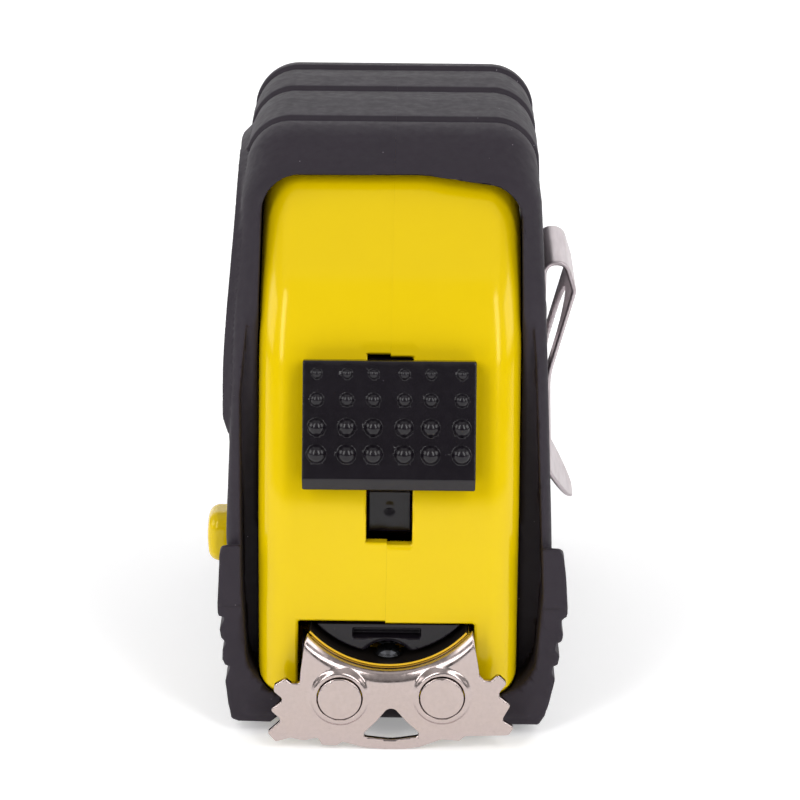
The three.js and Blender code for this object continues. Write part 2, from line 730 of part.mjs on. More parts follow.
place("magnet_right", magnet(1), nickel);
place("hook_rivet_front", rivet(RIVET_Y.front), nickel);
place("hook_rivet_rear", rivet(RIVET_Y.rear), nickel);
place("side_button", sideButton(), yellowPlastic);
place("button_brake_pad", buttonBrakePad(), blackRubber);
place("button_spring", buttonSpring(), springSteel);
place("belt_clip", beltClip(), satinSteel);
place("clip_screw", screw(2.6, CLIP.mountX + CLIP.thick, 23.2, 1.4, 14.4, 0, 51), springSteel);
CASE_SCREWS.forEach(([y, z], i) => {
  place(`case_screw_${i + 1}`, screw(2.8, SHELL.half - 1.2, SHELL.half + 0.6, 1.5, -8.5, y, z), springSteel);
});
place("side_label", rodX(LABEL.radius, LABEL.front, LABEL.back, LABEL.y, LABEL.z, 48), labelFilm);

export default group;
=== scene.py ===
"""Looks for a 25 mm pocket tape measure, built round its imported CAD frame."""
import math

import bmesh
import bpy
import numpy as np
import openvdb
from mathutils import Matrix, Vector


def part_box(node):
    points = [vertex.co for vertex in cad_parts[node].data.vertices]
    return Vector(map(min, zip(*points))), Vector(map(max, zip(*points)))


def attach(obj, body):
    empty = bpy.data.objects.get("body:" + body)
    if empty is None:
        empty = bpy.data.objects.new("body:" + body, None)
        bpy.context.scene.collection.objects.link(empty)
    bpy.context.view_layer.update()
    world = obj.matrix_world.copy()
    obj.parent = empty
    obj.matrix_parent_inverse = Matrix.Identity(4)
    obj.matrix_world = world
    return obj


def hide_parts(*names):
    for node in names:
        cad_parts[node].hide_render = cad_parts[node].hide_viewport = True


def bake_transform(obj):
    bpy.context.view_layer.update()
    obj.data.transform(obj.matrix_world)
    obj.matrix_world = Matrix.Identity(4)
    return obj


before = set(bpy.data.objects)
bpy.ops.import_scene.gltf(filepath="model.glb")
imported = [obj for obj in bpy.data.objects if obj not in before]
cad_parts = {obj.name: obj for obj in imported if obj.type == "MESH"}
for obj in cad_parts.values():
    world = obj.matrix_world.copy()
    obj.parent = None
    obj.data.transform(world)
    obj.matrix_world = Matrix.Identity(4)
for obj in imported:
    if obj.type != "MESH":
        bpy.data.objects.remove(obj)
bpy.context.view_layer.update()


MM = 0.001


def node_box(node):
    """A CAD node's lowest and highest corners, in millimetres."""
    return [[c / MM for c in corner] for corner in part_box(node)]


# ---------- driving sizes, in millimetres ----------
# X is across, Y runs from the mouth to the back and Z is up. Corners seen from the side are (y, z, radius).
EDGE_FINE = 0.1
EDGE_SMALL = 0.2
EDGE_SOFT = 0.3
NOSE_HALF = -node_box("left_shell")[0][0]
NOSE_EDGE = 4.5
NOSE_MIDDLE = -0.12
WALL = 2.0
SEAM_AT = -0.3
SEAM_LEAN = 0.012
SEAM_LEVEL_Z = 30.0
SEAM_GAP = 0.01
SHELL_CORNERS = [
    (-42.0, 7.0, 1.5), (-34.0, 2.2, 3.0), (40.2, 2.2, 11.0), (40.2, 81.6, 16.5),
    (-14.5, 81.0, 16.0), (-35.6, 62.0, 24.0), (-42.0, 34.0, 40.0),
]
GRIP_TOP = 83.6
GRIP_HALF_BASE = 24.2
GRIP_HALF_FOOT = 21.6
GRIP_FOOT_SLOPE = 0.054
GRIP_HALF_TOP = {"left": 21.35, "right": 21.0}
GRIP_CORNERS = [
    (-41.0, 2.8, 1.0), (-34.0, 0.0, 3.0), (42.0, 0.0, 12.0), (42.0, GRIP_TOP, 17.5),
    (-12.0, 83.2, 12.0), (-22.5, 77.2, 8.0), (-34.5, 59.0, 30.0), (-39.6, 33.0, 30.0),
    (-39.8, 8.0, 3.0),
]
BLADE_CHORD = 22.4
BLADE_SAG = 5.2
BLADE_BASE = 12.3
BLADE_RADIUS = (BLADE_CHORD**2 / 4 + BLADE_SAG**2) / (2 * BLADE_SAG)
BLADE_CENTRE_Z = BLADE_BASE + BLADE_RADIUS
BLADE_THICK = 0.28
CASE_SCREWS = ((-15.0, 71.5), (30.0, 69.0), (32.0, 12.0), (-27.5, 8.6))
CASE_SCREW_SINK = 1.2
CLIP_SCREW_YZ = (0.0, 51.0)
CLIP_SCREW_BORE = 1.8
BUTTON_YZ = (-25.0, 25.0)
LABEL_YZ = (5.0, 47.0)
LABEL_SEAT_X = 23.3


# ---------- signed distance tools ----------
def smooth(value, low, high):
    """A soft step from 0 at low to 1 at high."""
    t = np.clip((value - low) / (high - low), 0.0, 1.0)
    return t * t * (3 - 2 * t)


def meet(a, b, radius=0.0):
    """The part inside both, with the edge between them rounded."""
    u = np.maximum(a + radius, 0)
    v = np.maximum(b + radius, 0)
    return np.minimum(np.maximum(a, b), -radius) + np.sqrt(u * u + v * v)


def meet_flat(a, b, size):
    """The part inside both, with the edge between them chamfered."""
    return np.maximum(np.maximum(a, b), (a + b + size) * math.sqrt(0.5))


def cut(a, b, radius=0.0):
    """The part of a that is outside b."""
    return meet(a, -b, radius)


def add(a, b, radius=0.0):
    """The part inside either, with the corner between them filled."""
    return -meet(-a, -b, radius)


def between(value, low, high):
    """Distance outside a range, negative within it."""
    return np.abs(value - (low + high) / 2) - (high - low) / 2


def round_path(corners, closed):
    """The straight and curved stretches of a path whose corners (u, v, radius) are rounded."""
    count = len(corners)
    stretches = []
    arcs = []
    ends = []
    for i, (u, v, radius) in enumerate(corners):
        corner = np.array((u, v))
        if not closed and i in (0, count - 1):
            ends.append((corner, corner))
            continue
        before = np.array(corners[i - 1][:2]) - corner
        after = np.array(corners[(i + 1) % count][:2]) - corner
        before /= np.linalg.norm(before)
        after /= np.linalg.norm(after)
        half = math.acos(np.clip(before @ after, -1, 1)) / 2
        reach = radius / math.tan(half)
        middle = (before + after) / np.linalg.norm(before + after)
        centre = corner + middle * radius / math.sin(half)
        first = corner + before * reach
        last = corner + after * reach
        turn = 1.0 if -before[0] * after[1] + before[1] * after[0] > 0 else -1.0
        arcs.append((centre, radius, -middle, math.cos(math.pi / 2 - half), turn))
        ends.append((first, last))
    for i in range(count if closed else count - 1):
        stretches.append((ends[i][1], ends[(i + 1) % count][0]))
    return stretches, arcs


def path_distance(u, v, corners, closed=True):
    """Signed distance to a rounded outline that runs anticlockwise, negative inside."""
    stretches, arcs = round_path(corners, closed)
    u, v = np.broadcast_arrays(u, v)
    best = np.full(u.shape, 1e6, np.float32)
    for start, end in stretches:
        along = end - start
        length = max(np.linalg.norm(along), 1e-6)
        along = along / length
        s = np.clip((u - start[0]) * along[0] + (v - start[1]) * along[1], 0, length)
        du = u - start[0] - s * along[0]
        dv = v - start[1] - s * along[1]
        distance = np.sqrt(du * du + dv * dv)
        sign = np.where(along[1] * du - along[0] * dv >= 0, 1.0, -1.0)
        best = np.where(distance < np.abs(best), distance * sign, best)
    for centre, radius, middle, spread, turn in arcs:
        du = u - centre[0]
        dv = v - centre[1]
        away = np.sqrt(du * du + dv * dv) + 1e-9
        inside_wedge = (du * middle[0] + dv * middle[1]) / away >= spread - 1e-4
        signed = (away - radius) * turn
        nearer = inside_wedge & (np.abs(signed) < np.abs(best))
        best = np.where(nearer, signed, best)
    return best


def ring_distance(u, v, centre, radius):
    """Signed distance to a circle."""
    return np.sqrt((u - centre[0]) ** 2 + (v - centre[1]) ** 2) - radius


def box_distance(x, y, z, low, high, radius):
    """A box from one corner to the other, with its edges rounded."""
    sides = meet(between(x, low[0], high[0]), between(y, low[1], high[1]), radius)
    return meet(sides, between(z, low[2], high[2]), radius)


# ---------- meshes ----------
# A grid holds distances up to a band of so many cells. Its surface then settles on the field in a few passes.
GRID_BAND = 4
GRID_THINNING = 0.01
SETTLE_PASSES = 2
SLOPE_REACH = 0.12
ON_SEAM = 1e-3


def linked(name, data):
    """A mesh, light or other data put in the scene as an object."""
    piece = bpy.data.objects.new(name, data)
    bpy.context.scene.collection.objects.link(piece)
    return piece


def ring_faces(rings, around):
    """The four-sided faces between rings of points, each ring closed on itself."""
    faces = []
    for ring in range(rings - 1):
        for i in range(around):
            a = ring * around + i
            b = ring * around + (i + 1) % around
            faces.append((a, b, b + around, a + around))
    return faces


def tube_faces(rings, around):
    """Faces for a tube with flat ends, looking out when its rings turn anticlockwise seen along it."""
    faces = [tuple(reversed(face)) for face in ring_faces(rings, around)]
    last = (rings - 1) * around
    return [*faces, tuple(range(around)), tuple(reversed(range(last, last + around)))]


def seam_plane(side):
    """A point on one half's seam face and the direction that face looks in, in millimetres."""
    facing = 1 if side == "left" else -1
    out = np.array((1.0, 0.0, -SEAM_LEAN)) * facing
    out /= np.linalg.norm(out)
    point = np.array((SEAM_AT - facing * SEAM_GAP / 2, 0.0, SEAM_LEVEL_Z))
    return point, out


def cut_at_seam(points, faces, side):
    """Keeps one half of a closed mesh and caps it flat at the seam."""
    point, out = seam_plane(side)
    body = bmesh.new()
    corners = [body.verts.new(p) for p in points]
    for face in faces:
        body.faces.new([corners[i] for i in face])
    everything = body.verts[:] + body.edges[:] + body.faces[:]
    cutting = {"dist": 1e-4, "plane_co": point, "plane_no": out, "clear_outer": True}
    made = bmesh.ops.bisect_plane(body, geom=everything, **cutting)
    rim = [e for e in made["geom_cut"] if isinstance(e, bmesh.types.BMEdge)]
    bmesh.ops.triangle_fill(body, edges=rim, normal=out, use_beauty=False)
    body.verts.index_update()
    points = np.array([v.co for v in body.verts], np.float64)
    faces = [[v.index for v in f.verts] for f in body.faces]
    body.free()
    return points, faces


def grid_surface(low, high, step, field):
    """The points and faces where the field is zero, from a grid over a box."""
    axes = [np.arange(a - 2 * step, b + 2.5 * step, step, dtype=np.float32) for a, b in zip(low, high)]
    x = axes[0][:, None, None]
    y = axes[1][None, :, None]
    z = axes[2][None, None, :]
    values = np.broadcast_to(field(x, y, z), [len(a) for a in axes])
    values = np.ascontiguousarray(values, dtype=np.float32)
    band = GRID_BAND * step
    grid = openvdb.FloatGrid(float(band))
    grid.copyFromArray(np.clip(values, -band, band))
    points, triangles, quads = grid.convertToPolygons(isovalue=0.0, adaptivity=GRID_THINNING)
    points = points.astype(np.float64) * step + np.array([a[0] for a in axes], np.float64)
    return points, triangles.tolist() + quads.tolist()


def values_at(field, points):
    return np.asarray(field(points[:, 0], points[:, 1], points[:, 2]), np.float64)


def slope_at(field, points, reach):
    """The field's gradient at each point, from four samples round it."""
    total = np.zeros_like(points)
    for corner in ((1, -1, -1), (-1, -1, 1), (-1, 1, -1), (1, 1, 1)):
        direction = np.array(corner, np.float64)
        total += direction * values_at(field, points + direction * reach)[:, None]
    return total / (4 * reach)


def skin(node, step, field, room=0.6, side=None):
    """A mesh of the surface where the field is zero, round a CAD node's box, with normals from the field.

    The grid's step and the room left round the box are in millimetres. With a side given, the mesh is one
    half of the case, cut flat at the seam.
    """
    low, high = node_box(node)
    points, faces = grid_surface([a - room for a in low], [a + room for a in high], step, field)
    on_seam = np.zeros(len(points), bool)
    out = np.zeros(3)
    if side is not None:
        points, faces = cut_at_seam(points, faces, side)
        seam_point, out = seam_plane(side)
        on_seam = np.abs((points - seam_point) @ out) < ON_SEAM
    reach = step * SLOPE_REACH
    for _ in range(SETTLE_PASSES):
        gradient = slope_at(field, points, reach)
        gradient[on_seam] -= (gradient[on_seam] @ out)[:, None] * out
        squared = np.maximum((gradient * gradient).sum(1), 0.2)
        move = -(values_at(field, points) / squared)[:, None] * gradient
        points += np.clip(move, -step, step)
    normals = slope_at(field, points, reach)
    normals /= np.maximum(np.linalg.norm(normals, axis=1), 1e-6)[:, None]
    corner_normals = [normals[i] for face in faces for i in face]
    if side is not None:
        flat = [bool(on_seam[face].all()) for face in faces]
        caps = [cap for face, cap in zip(faces, flat) for _ in face]
        corner_normals = [out if cap else n for n, cap in zip(corner_normals, caps)]
    mesh = bpy.data.meshes.new(f"{node}_skin")
    mesh.from_pydata((points * MM).tolist(), [], faces)
    mesh.shade_smooth()
    mesh.normals_split_custom_set(np.array(corner_normals, np.float32))
    return linked(f"{node}_skin", mesh)


# ---------- yellow case shells ----------
SHELL_STEP = 0.35
SHELL_ROOM = 1.5
MOUTH_X = (-12.85, 12.2)
MOUTH_BOTTOM = 8.2
MOUTH_TOP = {"left": 18.05, "right": 17.75}
MOUTH_REAR_Y = -36.0
SLOT_HALF = 3.25
SLOT_BOTTOM = {"left": 29.9, "right": 29.6}
SLOT_TOP = {"left": 56.1, "right": 55.7}
SLOT_REAR_Y = -34.0
SLOT_EDGE = 0.15
RECESS_HALF = 12.9
RECESS_Z = (29.2, 57.2)
RECESS_DEPTH = 0.08
RECESS_CORNER = 0.6
RECESS_SOFT = 0.4
RECESS_REAR_Y = -20.0
BOSS_RADIUS = 3.0
SHANK_BORE = 1.8
SHANK_BORE_END_X = -9.0
HEAD_BORE = 3.1
BUTTON_BORE = 2.4
BUTTON_BORE_END_X = -14.0
CLIP_BORE_END_X = 14.0


def shell_distance(x, y, z, grow):
    """The outside of both yellow halves together, grown by a margin."""
    across = np.abs(x - NOSE_MIDDLE) - NOSE_HALF - grow
    return meet(path_distance(y, z, SHELL_CORNERS) - grow, across, NOSE_EDGE)


def shell_hollow(x, y, z):
    """The room inside the walls, less the screw bosses."""
    across = np.abs(x) - NOSE_HALF + WALL
    hollow = meet(path_distance(y, z, SHELL_CORNERS) + WALL, across, NOSE_EDGE - WALL)
    for centre in CASE_SCREWS:
        hollow = cut(hollow, ring_distance(y, z, centre, BOSS_RADIUS), EDGE_SOFT)
    return hollow


def screw_bores(x, y, z):
    bores = 1e3
    for centre in CASE_SCREWS:
        shank = np.maximum(ring_distance(y, z, centre, SHANK_BORE), SHANK_BORE_END_X - x)
        seat = np.maximum(ring_distance(y, z, centre, HEAD_BORE), NOSE_HALF - CASE_SCREW_SINK - x)
        bores = np.minimum(bores, np.minimum(shank, seat))
    return bores


def shell_field(side):
    """One yellow half: walls, mouth, the lock's slot and its shallow recess, and the bores."""
    def field(x, y, z):
        body = cut(shell_distance(x, y, z, 0.0), shell_hollow(x, y, z), EDGE_FINE)
        recess = meet(np.abs(x) - RECESS_HALF, between(z, *RECESS_Z), RECESS_CORNER)
        pressed = RECESS_DEPTH * (1 - smooth(recess, -RECESS_SOFT, RECESS_SOFT))
        body = body + pressed * (y < RECESS_REAR_Y)
        mouth = meet(between(x, *MOUTH_X), between(z, MOUTH_BOTTOM, MOUTH_TOP[side]), EDGE_SOFT)
        body = cut(body, np.maximum(mouth, y - MOUTH_REAR_Y), EDGE_SMALL)
        slot = meet(np.abs(x) - SLOT_HALF, between(z, SLOT_BOTTOM[side], SLOT_TOP[side]), EDGE_SMALL)
        body = cut(body, np.maximum(slot, y - SLOT_REAR_Y), SLOT_EDGE)
        body = cut(body, screw_bores(x, y, z), EDGE_FINE)
        button_bore = np.maximum(ring_distance(y, z, BUTTON_YZ, BUTTON_BORE), x - BUTTON_BORE_END_X)
        body = cut(body, button_bore, EDGE_FINE)
        clip_bore = np.maximum(ring_distance(y, z, CLIP_SCREW_YZ, CLIP_SCREW_BORE), CLIP_BORE_END_X - x)
        return cut(body, clip_bore, EDGE_FINE)

    return field


# ---------- rubber grips ----------
GRIP_STEP = 0.4
GRIP_ROOM = 1.5
# The corner bumpers seen from the front, as (x, z, radius).
LEFT_BUMPER = [
    (-24.4, 19.3, 0.8), (-24.35, 17.95, 0.3), (-23.4, 17.75, 0.25), (-23.55, 17.1, 0.2),
    (-24.1, 15.9, 0.5), (-23.95, 14.7, 0.3), (-23.2, 13.75, 0.4), (-23.7, 12.7, 0.3),
    (-23.75, 11.2, 0.3), (-23.35, 10.4, 0.25), (-22.6, 10.2, 0.25), (-23.35, 7.9, 0.8),
    (-23.0, 4.7, 2.0), (-22.5, 2.1, 0.4), (-21.4, 1.7, 0.3), (-16.0, 1.6, 1.0),
    (-16.0, 29.1, 1.0), (-22.4, 29.1, 0.4), (-23.6, 28.7, 0.6), (-24.05, 27.3, 0.5),
    (-24.05, 26.0, 1.0),
]
RIGHT_BUMPER = [
    (16.0, 1.6, 1.0), (21.7, 1.6, 0.3), (22.56, 2.94, 0.6), (23.14, 4.83, 1.0),
    (23.6, 6.98, 1.0), (23.95, 8.6, 0.25), (23.45, 9.6, 0.3), (23.6, 10.65, 0.2),
    (24.3, 10.95, 0.25), (24.5, 12.2, 0.3), (23.9, 13.1, 0.3), (24.0, 14.15, 0.2),
    (24.8, 14.55, 0.25), (24.95, 15.55, 0.25), (24.6, 16.8, 0.3), (24.75, 17.8, 0.2),
    (25.5, 18.4, 0.25), (25.5, 19.5, 0.8), (25.15, 24.5, 2.0), (24.75, 27.4, 0.6),
    (24.25, 28.7, 0.4), (23.2, 29.05, 0.4), (16.0, 29.1, 1.0),
]
BUMPER_Y = (-41.0, -30.0)
BUMPER_SETBACK = 0.5
BUMPER_SETBACK_Z = (19.3, 20.1)
BUMPER_TOP_Z = 29.1
BUMPER_TOP_SLOPE = 0.45
BUMPER_EDGE = 0.4
BUMPER_FILLET = 0.15
RIM_RADIUS = 2.2
RIM_GROWTH = 4.3
RIM_GROWTH_Z = (58.0, 80.0)
TOP_RIDGES = ((-8.0, 10.5), (10.3, 7.0), (24.0, 7.0))
RIDGE_RISE = 0.7
RIDGE_DEPTH = 0.45
RIDGE_GROOVE_DEPTH = 0.55
RIDGE_GROOVE_WIDTH = 0.5
RIDGE_ENDS_LEFT_Z = (75.2, 76.8)
RIDGE_ENDS_RIGHT_Z = (67.0, 69.5)
BACK_RIDGES_Z = (68.0, 56.0, 44.0)
BACK_RIDGE_RUN = 7.0
BACK_RIDGE_STARTS_Y = (36.0, 37.5)
BACK_RIDGE_ENDS_X = (15.0, 17.0)
PANEL_YZ = (0.0, 44.0)
PANEL_RADIUS = 35.0
PANEL_FACE_X = -23.8
PANEL_ROOT_X = -17.0
PANEL_CHAMFER = 1.2
PANEL_LEAN = 1.25
PANEL_LEAN_Z = (50.0, 76.0)
LABEL_SEAT_RADIUS = 14.5
LABEL_SEAT_EDGE = 0.25
BUTTON_ROOM_YZ = (-34.0, 26.0)
BUTTON_ROOM_RADIUS = 17.4
BUTTON_ROOM_FLARE = 2.6
BUTTON_ROOM_FLARE_X = -23.0
BUTTON_ROOM_EDGE = 0.4
BUTTON_GAP_HALF = 4.05
BUTTON_GAP_X = (-30.0, -15.0)
BUTTON_GAP_CORNER = 2.6
BUTTON_GAP_EDGE = 0.4
CHANNEL_CORNERS = [
    (-18.9, 73.0, 1.0), (-21.2, 50.0, 30.0), (-20.9, 22.0, 30.0), (-19.9, 4.4, 6.0),
    (-14.0, 6.4, 2.0), (14.0, 6.4, 2.0), (20.6, 4.4, 6.0), (21.9, 22.0, 12.0),
    (20.4, 55.0, 30.0), (18.9, 73.0, 1.0),
]
CHANNEL_REAR_Y = -33.5
WINDOW_CORNERS = [
    (-18.7, 30.0, 0.5), (18.5, 30.0, 0.5), (18.5, 76.4, 5.0), (4.0, 77.9, 20.0),
    (-18.7, 77.7, 5.0),
]
WINDOW_REAR_Y = -8.0
WINDOW_BLEND = 1.0
WINDOW_EDGE = 0.35
CLIP_SEAT_X = 21.9
CLIP_SEAT_HALF = 10.6
CLIP_SEAT_BOTTOM = 42.0
GRIP_BORE_END_X = 15.0
GRIP_SCREW_BORE = 3.3
GRIP_SCREW_EDGE = 0.35
GRIP_TO_SHELL = 0.2


def ridge_depth(t, run):
    """A ratchet notch: a long flat run down to it, a short rise after it and a fine groove at its foot."""
    down = np.clip((t + run) / run, 0, 1) * (t <= 0)
    up = (1 - smooth(t, 0, RIDGE_RISE)) * (t > 0)
    groove = RIDGE_GROOVE_DEPTH * np.exp(-((t / RIDGE_GROOVE_WIDTH) ** 2))
    return RIDGE_DEPTH * (down + up) + groove


def grip_ridges(x, y, z):
    """How deep the ridges over the top and down the back cut in to the rubber."""
    depth = 0.0
    for at, run in TOP_RIDGES:
        depth = np.maximum(depth, ridge_depth(y - at, run))
    ends_low = np.where(x < 0, RIDGE_ENDS_LEFT_Z[0], RIDGE_ENDS_RIGHT_Z[0])
    ends_high = np.where(x < 0, RIDGE_ENDS_LEFT_Z[1], RIDGE_ENDS_RIGHT_Z[1])
    depth = depth * smooth(z, ends_low, ends_high)
    on_back = smooth(y, *BACK_RIDGE_STARTS_Y) * (1 - smooth(np.abs(x), *BACK_RIDGE_ENDS_X))
    for at in BACK_RIDGES_Z:
        depth = np.maximum(depth, ridge_depth(at - z, BACK_RIDGE_RUN) * on_back)
    return depth


def raised_panel(x, y, z):
    """The raised disc on the -X side, cut away round the button, with its label seat."""
    face = PANEL_FACE_X + PANEL_LEAN * smooth(z, *PANEL_LEAN_Z)
    thickness = np.maximum(face - x, x - PANEL_ROOT_X)
    disc = meet_flat(ring_distance(y, z, PANEL_YZ, PANEL_RADIUS), thickness, PANEL_CHAMFER)
    flare = BUTTON_ROOM_FLARE * np.clip(BUTTON_ROOM_FLARE_X - x, 0, 1)
    button_room = ring_distance(y, z, BUTTON_ROOM_YZ, BUTTON_ROOM_RADIUS) - flare
    disc = cut(disc, button_room, BUTTON_ROOM_EDGE)
    seat = np.maximum(ring_distance(y, z, LABEL_YZ, LABEL_SEAT_RADIUS), x + LABEL_SEAT_X)
    return cut(disc, seat, LABEL_SEAT_EDGE)


def grip_openings(x, y, z):
    """The window over the yellow nose and the channel down its sides to the floor."""
    channel = np.maximum(path_distance(x, z, CHANNEL_CORNERS), y - CHANNEL_REAR_Y)
    window = np.maximum(path_distance(x, z, WINDOW_CORNERS), y - WINDOW_REAR_Y)
    return add(channel, window, WINDOW_BLEND)


def grip_block(side, x, y, z):
    """The rubber's outside: sides that lean in, softer rims towards the top, ridges and corner bumper."""
    taper = (GRIP_HALF_BASE - GRIP_HALF_TOP[side]) / GRIP_TOP
    half = np.minimum(GRIP_HALF_BASE - taper * z, GRIP_HALF_FOOT + GRIP_FOOT_SLOPE * z)
    rim = RIM_RADIUS + RIM_GROWTH * smooth(z, *RIM_GROWTH_Z)
    body = meet(path_distance(y, z, GRIP_CORNERS), np.abs(x) - half, rim)
    body = body + grip_ridges(x, y, z)
    outline = path_distance(x, z, LEFT_BUMPER if side == "left" else RIGHT_BUMPER)
    setback = BUMPER_SETBACK * (1 - smooth(z, *BUMPER_SETBACK_Z))
    front = between(y, BUMPER_Y[0] + setback, BUMPER_Y[1])
    top = z - BUMPER_TOP_Z + BUMPER_TOP_SLOPE * (y - BUMPER_Y[0])
    return add(body, meet(meet(outline, front, BUMPER_EDGE), top, EDGE_SOFT), BUMPER_FILLET)


def clip_side_openings(body, x, y, z):
    """The +X grip with its flat clip seat and its screw holes cut."""
    seat = np.maximum(np.maximum(CLIP_SEAT_X - x, np.abs(y) - CLIP_SEAT_HALF), CLIP_SEAT_BOTTOM - z)
    body = cut(body, seat, EDGE_SOFT)
    for centre in CASE_SCREWS:
        hole = np.maximum(ring_distance(y, z, centre, GRIP_SCREW_BORE), GRIP_BORE_END_X - x)
        body = cut(body, hole, GRIP_SCREW_EDGE)
    hole = np.maximum(ring_distance(y, z, CLIP_SCREW_YZ, CLIP_SCREW_BORE), GRIP_BORE_END_X - x)
    return cut(body, hole, EDGE_FINE)


def grip_field(side):
    """One rubber half, cut round the yellow shell, the window and the button."""
    low, high = [[at + reach for at in BUTTON_YZ] for reach in (-BUTTON_GAP_HALF, BUTTON_GAP_HALF)]

    def field(x, y, z):
        body = grip_block(side, x, y, z)
        if side == "left":
            body = add(body, raised_panel(x, y, z), EDGE_SOFT)
        else:
            body = clip_side_openings(body, x, y, z)
        body = cut(body, grip_openings(x, y, z), WINDOW_EDGE)
        gap = box_distance(x, y, z, (BUTTON_GAP_X[0], *low), (BUTTON_GAP_X[1], *high), BUTTON_GAP_CORNER)
        body = cut(body, gap, BUTTON_GAP_EDGE)
        return cut(body, shell_distance(x, y, z, GRIP_TO_SHELL), EDGE_FINE)

    return field


# ---------- thumb lock ----------
# Its three parts seen from the side, as (y, z, radius), and the pad's domes seen from the front.
LOCK_STEP = 0.16
PAD_MIDDLE = -0.1
PAD_HALF = 12.1
PAD_EDGE = 0.22
PAD_CORNERS = [
    (-41.6, 38.55, 0.2), (-37.4, 55.6, 0.4), (-40.6, 56.4, 0.4), (-45.2, 40.5, 0.25),
    (-44.1, 38.55, 0.25),
]
DOME_COLUMNS = (-10.2, -6.0, -2.3, 2.0, 5.7, 10.0)
DOME_ROWS = ((43.8, 1.38), (47.4, 1.3), (51.1, 1.0), (54.6, 0.76))
DOME_SINK = 0.25
DOME_FILLET = 0.06
STEM_HALF = 3.05
STEM_CORNERS = [
    (-38.2, 30.2, 0.3), (-36.6, 30.2, 0.3), (-36.2, 38.0, 2.0), (-34.6, 45.0, 0.3),
    (-33.4, 45.2, 0.3), (-31.0, 55.4, 0.3), (-37.5, 55.4, 0.3), (-41.0, 38.5, 0.3),
    (-38.2, 36.2, 0.3),
]


STEM_DIMPLE_Z = 33.9
STEM_DIMPLE_DEPTH = 0.4
STEM_DIMPLE_SPREAD = 0.8
STEM_DIMPLE_REAR_Y = -37.2
KEEPER_CORNERS = [(-34.5, 45.2, 0.2), (-33.4, 45.2, 0.2), (-31.0, 56.0, 0.2), (-32.1, 56.0, 0.2)]
KEEPER_HALF = 6.0


def pad_face_y(z):
    """Where the pad's leaning front face is at a height."""
    low, high = PAD_CORNERS[3], PAD_CORNERS[2]
    return low[0] + (high[0] - low[0]) * (z - low[1]) / (high[1] - low[1])


def lock_field(x, y, z):
    pad = meet(path_distance(y, z, PAD_CORNERS), np.abs(x - PAD_MIDDLE) - PAD_HALF, PAD_EDGE)
    for dome_z, radius in DOME_ROWS:
        for dome_x in DOME_COLUMNS:
            centre_y = pad_face_y(dome_z) + DOME_SINK * radius
            away = np.sqrt((x - dome_x) ** 2 + (y - centre_y) ** 2 + (z - dome_z) ** 2)
            pad = add(pad, away - radius, DOME_FILLET)
    stem = meet(path_distance(y, z, STEM_CORNERS), np.abs(x) - STEM_HALF, EDGE_SMALL)
    dimple = np.exp(-(x**2 + (z - STEM_DIMPLE_Z) ** 2) / STEM_DIMPLE_SPREAD)
    stem = stem + STEM_DIMPLE_DEPTH * dimple * (y < STEM_DIMPLE_REAR_Y)
    keeper = meet(path_distance(y, z, KEEPER_CORNERS), np.abs(x) - KEEPER_HALF, EDGE_SMALL)
    return add(add(pad, stem, EDGE_FINE), keeper, EDGE_FINE)


# ---------- brake shoe ----------
SHOE_STEP = 0.2
SHOE_ABOVE_BLADE = 0.65
SHOE_EDGE = 0.25
SHOE_HALF = 10.8
SHOE_MOUTH_TOP = 17.5
SHOE_MOUTH_Y = (-41.7, -39.0)
SHOE_TOP = 21.0
SHOE_Y = (-39.7, -34.2)
SHOE_COLUMN_HALF = 4.5
SHOE_COLUMN_Z = (20.0, 24.6)
SHOE_RECESS = ((-5.1, -46.0, 15.5), (4.6, -40.0, 16.9))
RIVET_NOTCH_XZ = (-0.2, 10.95)
RIVET_NOTCH_RADIUS = 3.75
RIVET_NOTCH_EDGE = 0.9


def brake_field(x, y, z):
    """The shoe over the blade: curved below, notched over the rivets, with a column up to the lock."""
    in_mouth = np.maximum(z - SHOE_MOUTH_TOP, between(y, *SHOE_MOUTH_Y))
    behind = np.maximum(z - SHOE_TOP, between(y, *SHOE_Y))
    body = meet(np.minimum(in_mouth, behind), np.abs(x) - SHOE_HALF, EDGE_SOFT)
    below = ring_distance(x, z, (0.0, BLADE_CENTRE_Z), BLADE_RADIUS - SHOE_ABOVE_BLADE)
    body = meet(body, below, SHOE_EDGE)
    column_low = (-SHOE_COLUMN_HALF, SHOE_Y[0], SHOE_COLUMN_Z[0])
    column_high = (SHOE_COLUMN_HALF, SHOE_Y[1], SHOE_COLUMN_Z[1])
    body = add(body, box_distance(x, y, z, column_low, column_high, EDGE_SMALL), EDGE_FINE)
    body = cut(body, ring_distance(x, z, RIVET_NOTCH_XZ, RIVET_NOTCH_RADIUS), RIVET_NOTCH_EDGE)
    return cut(body, box_distance(x, y, z, *SHOE_RECESS, EDGE_SMALL), EDGE_FINE)


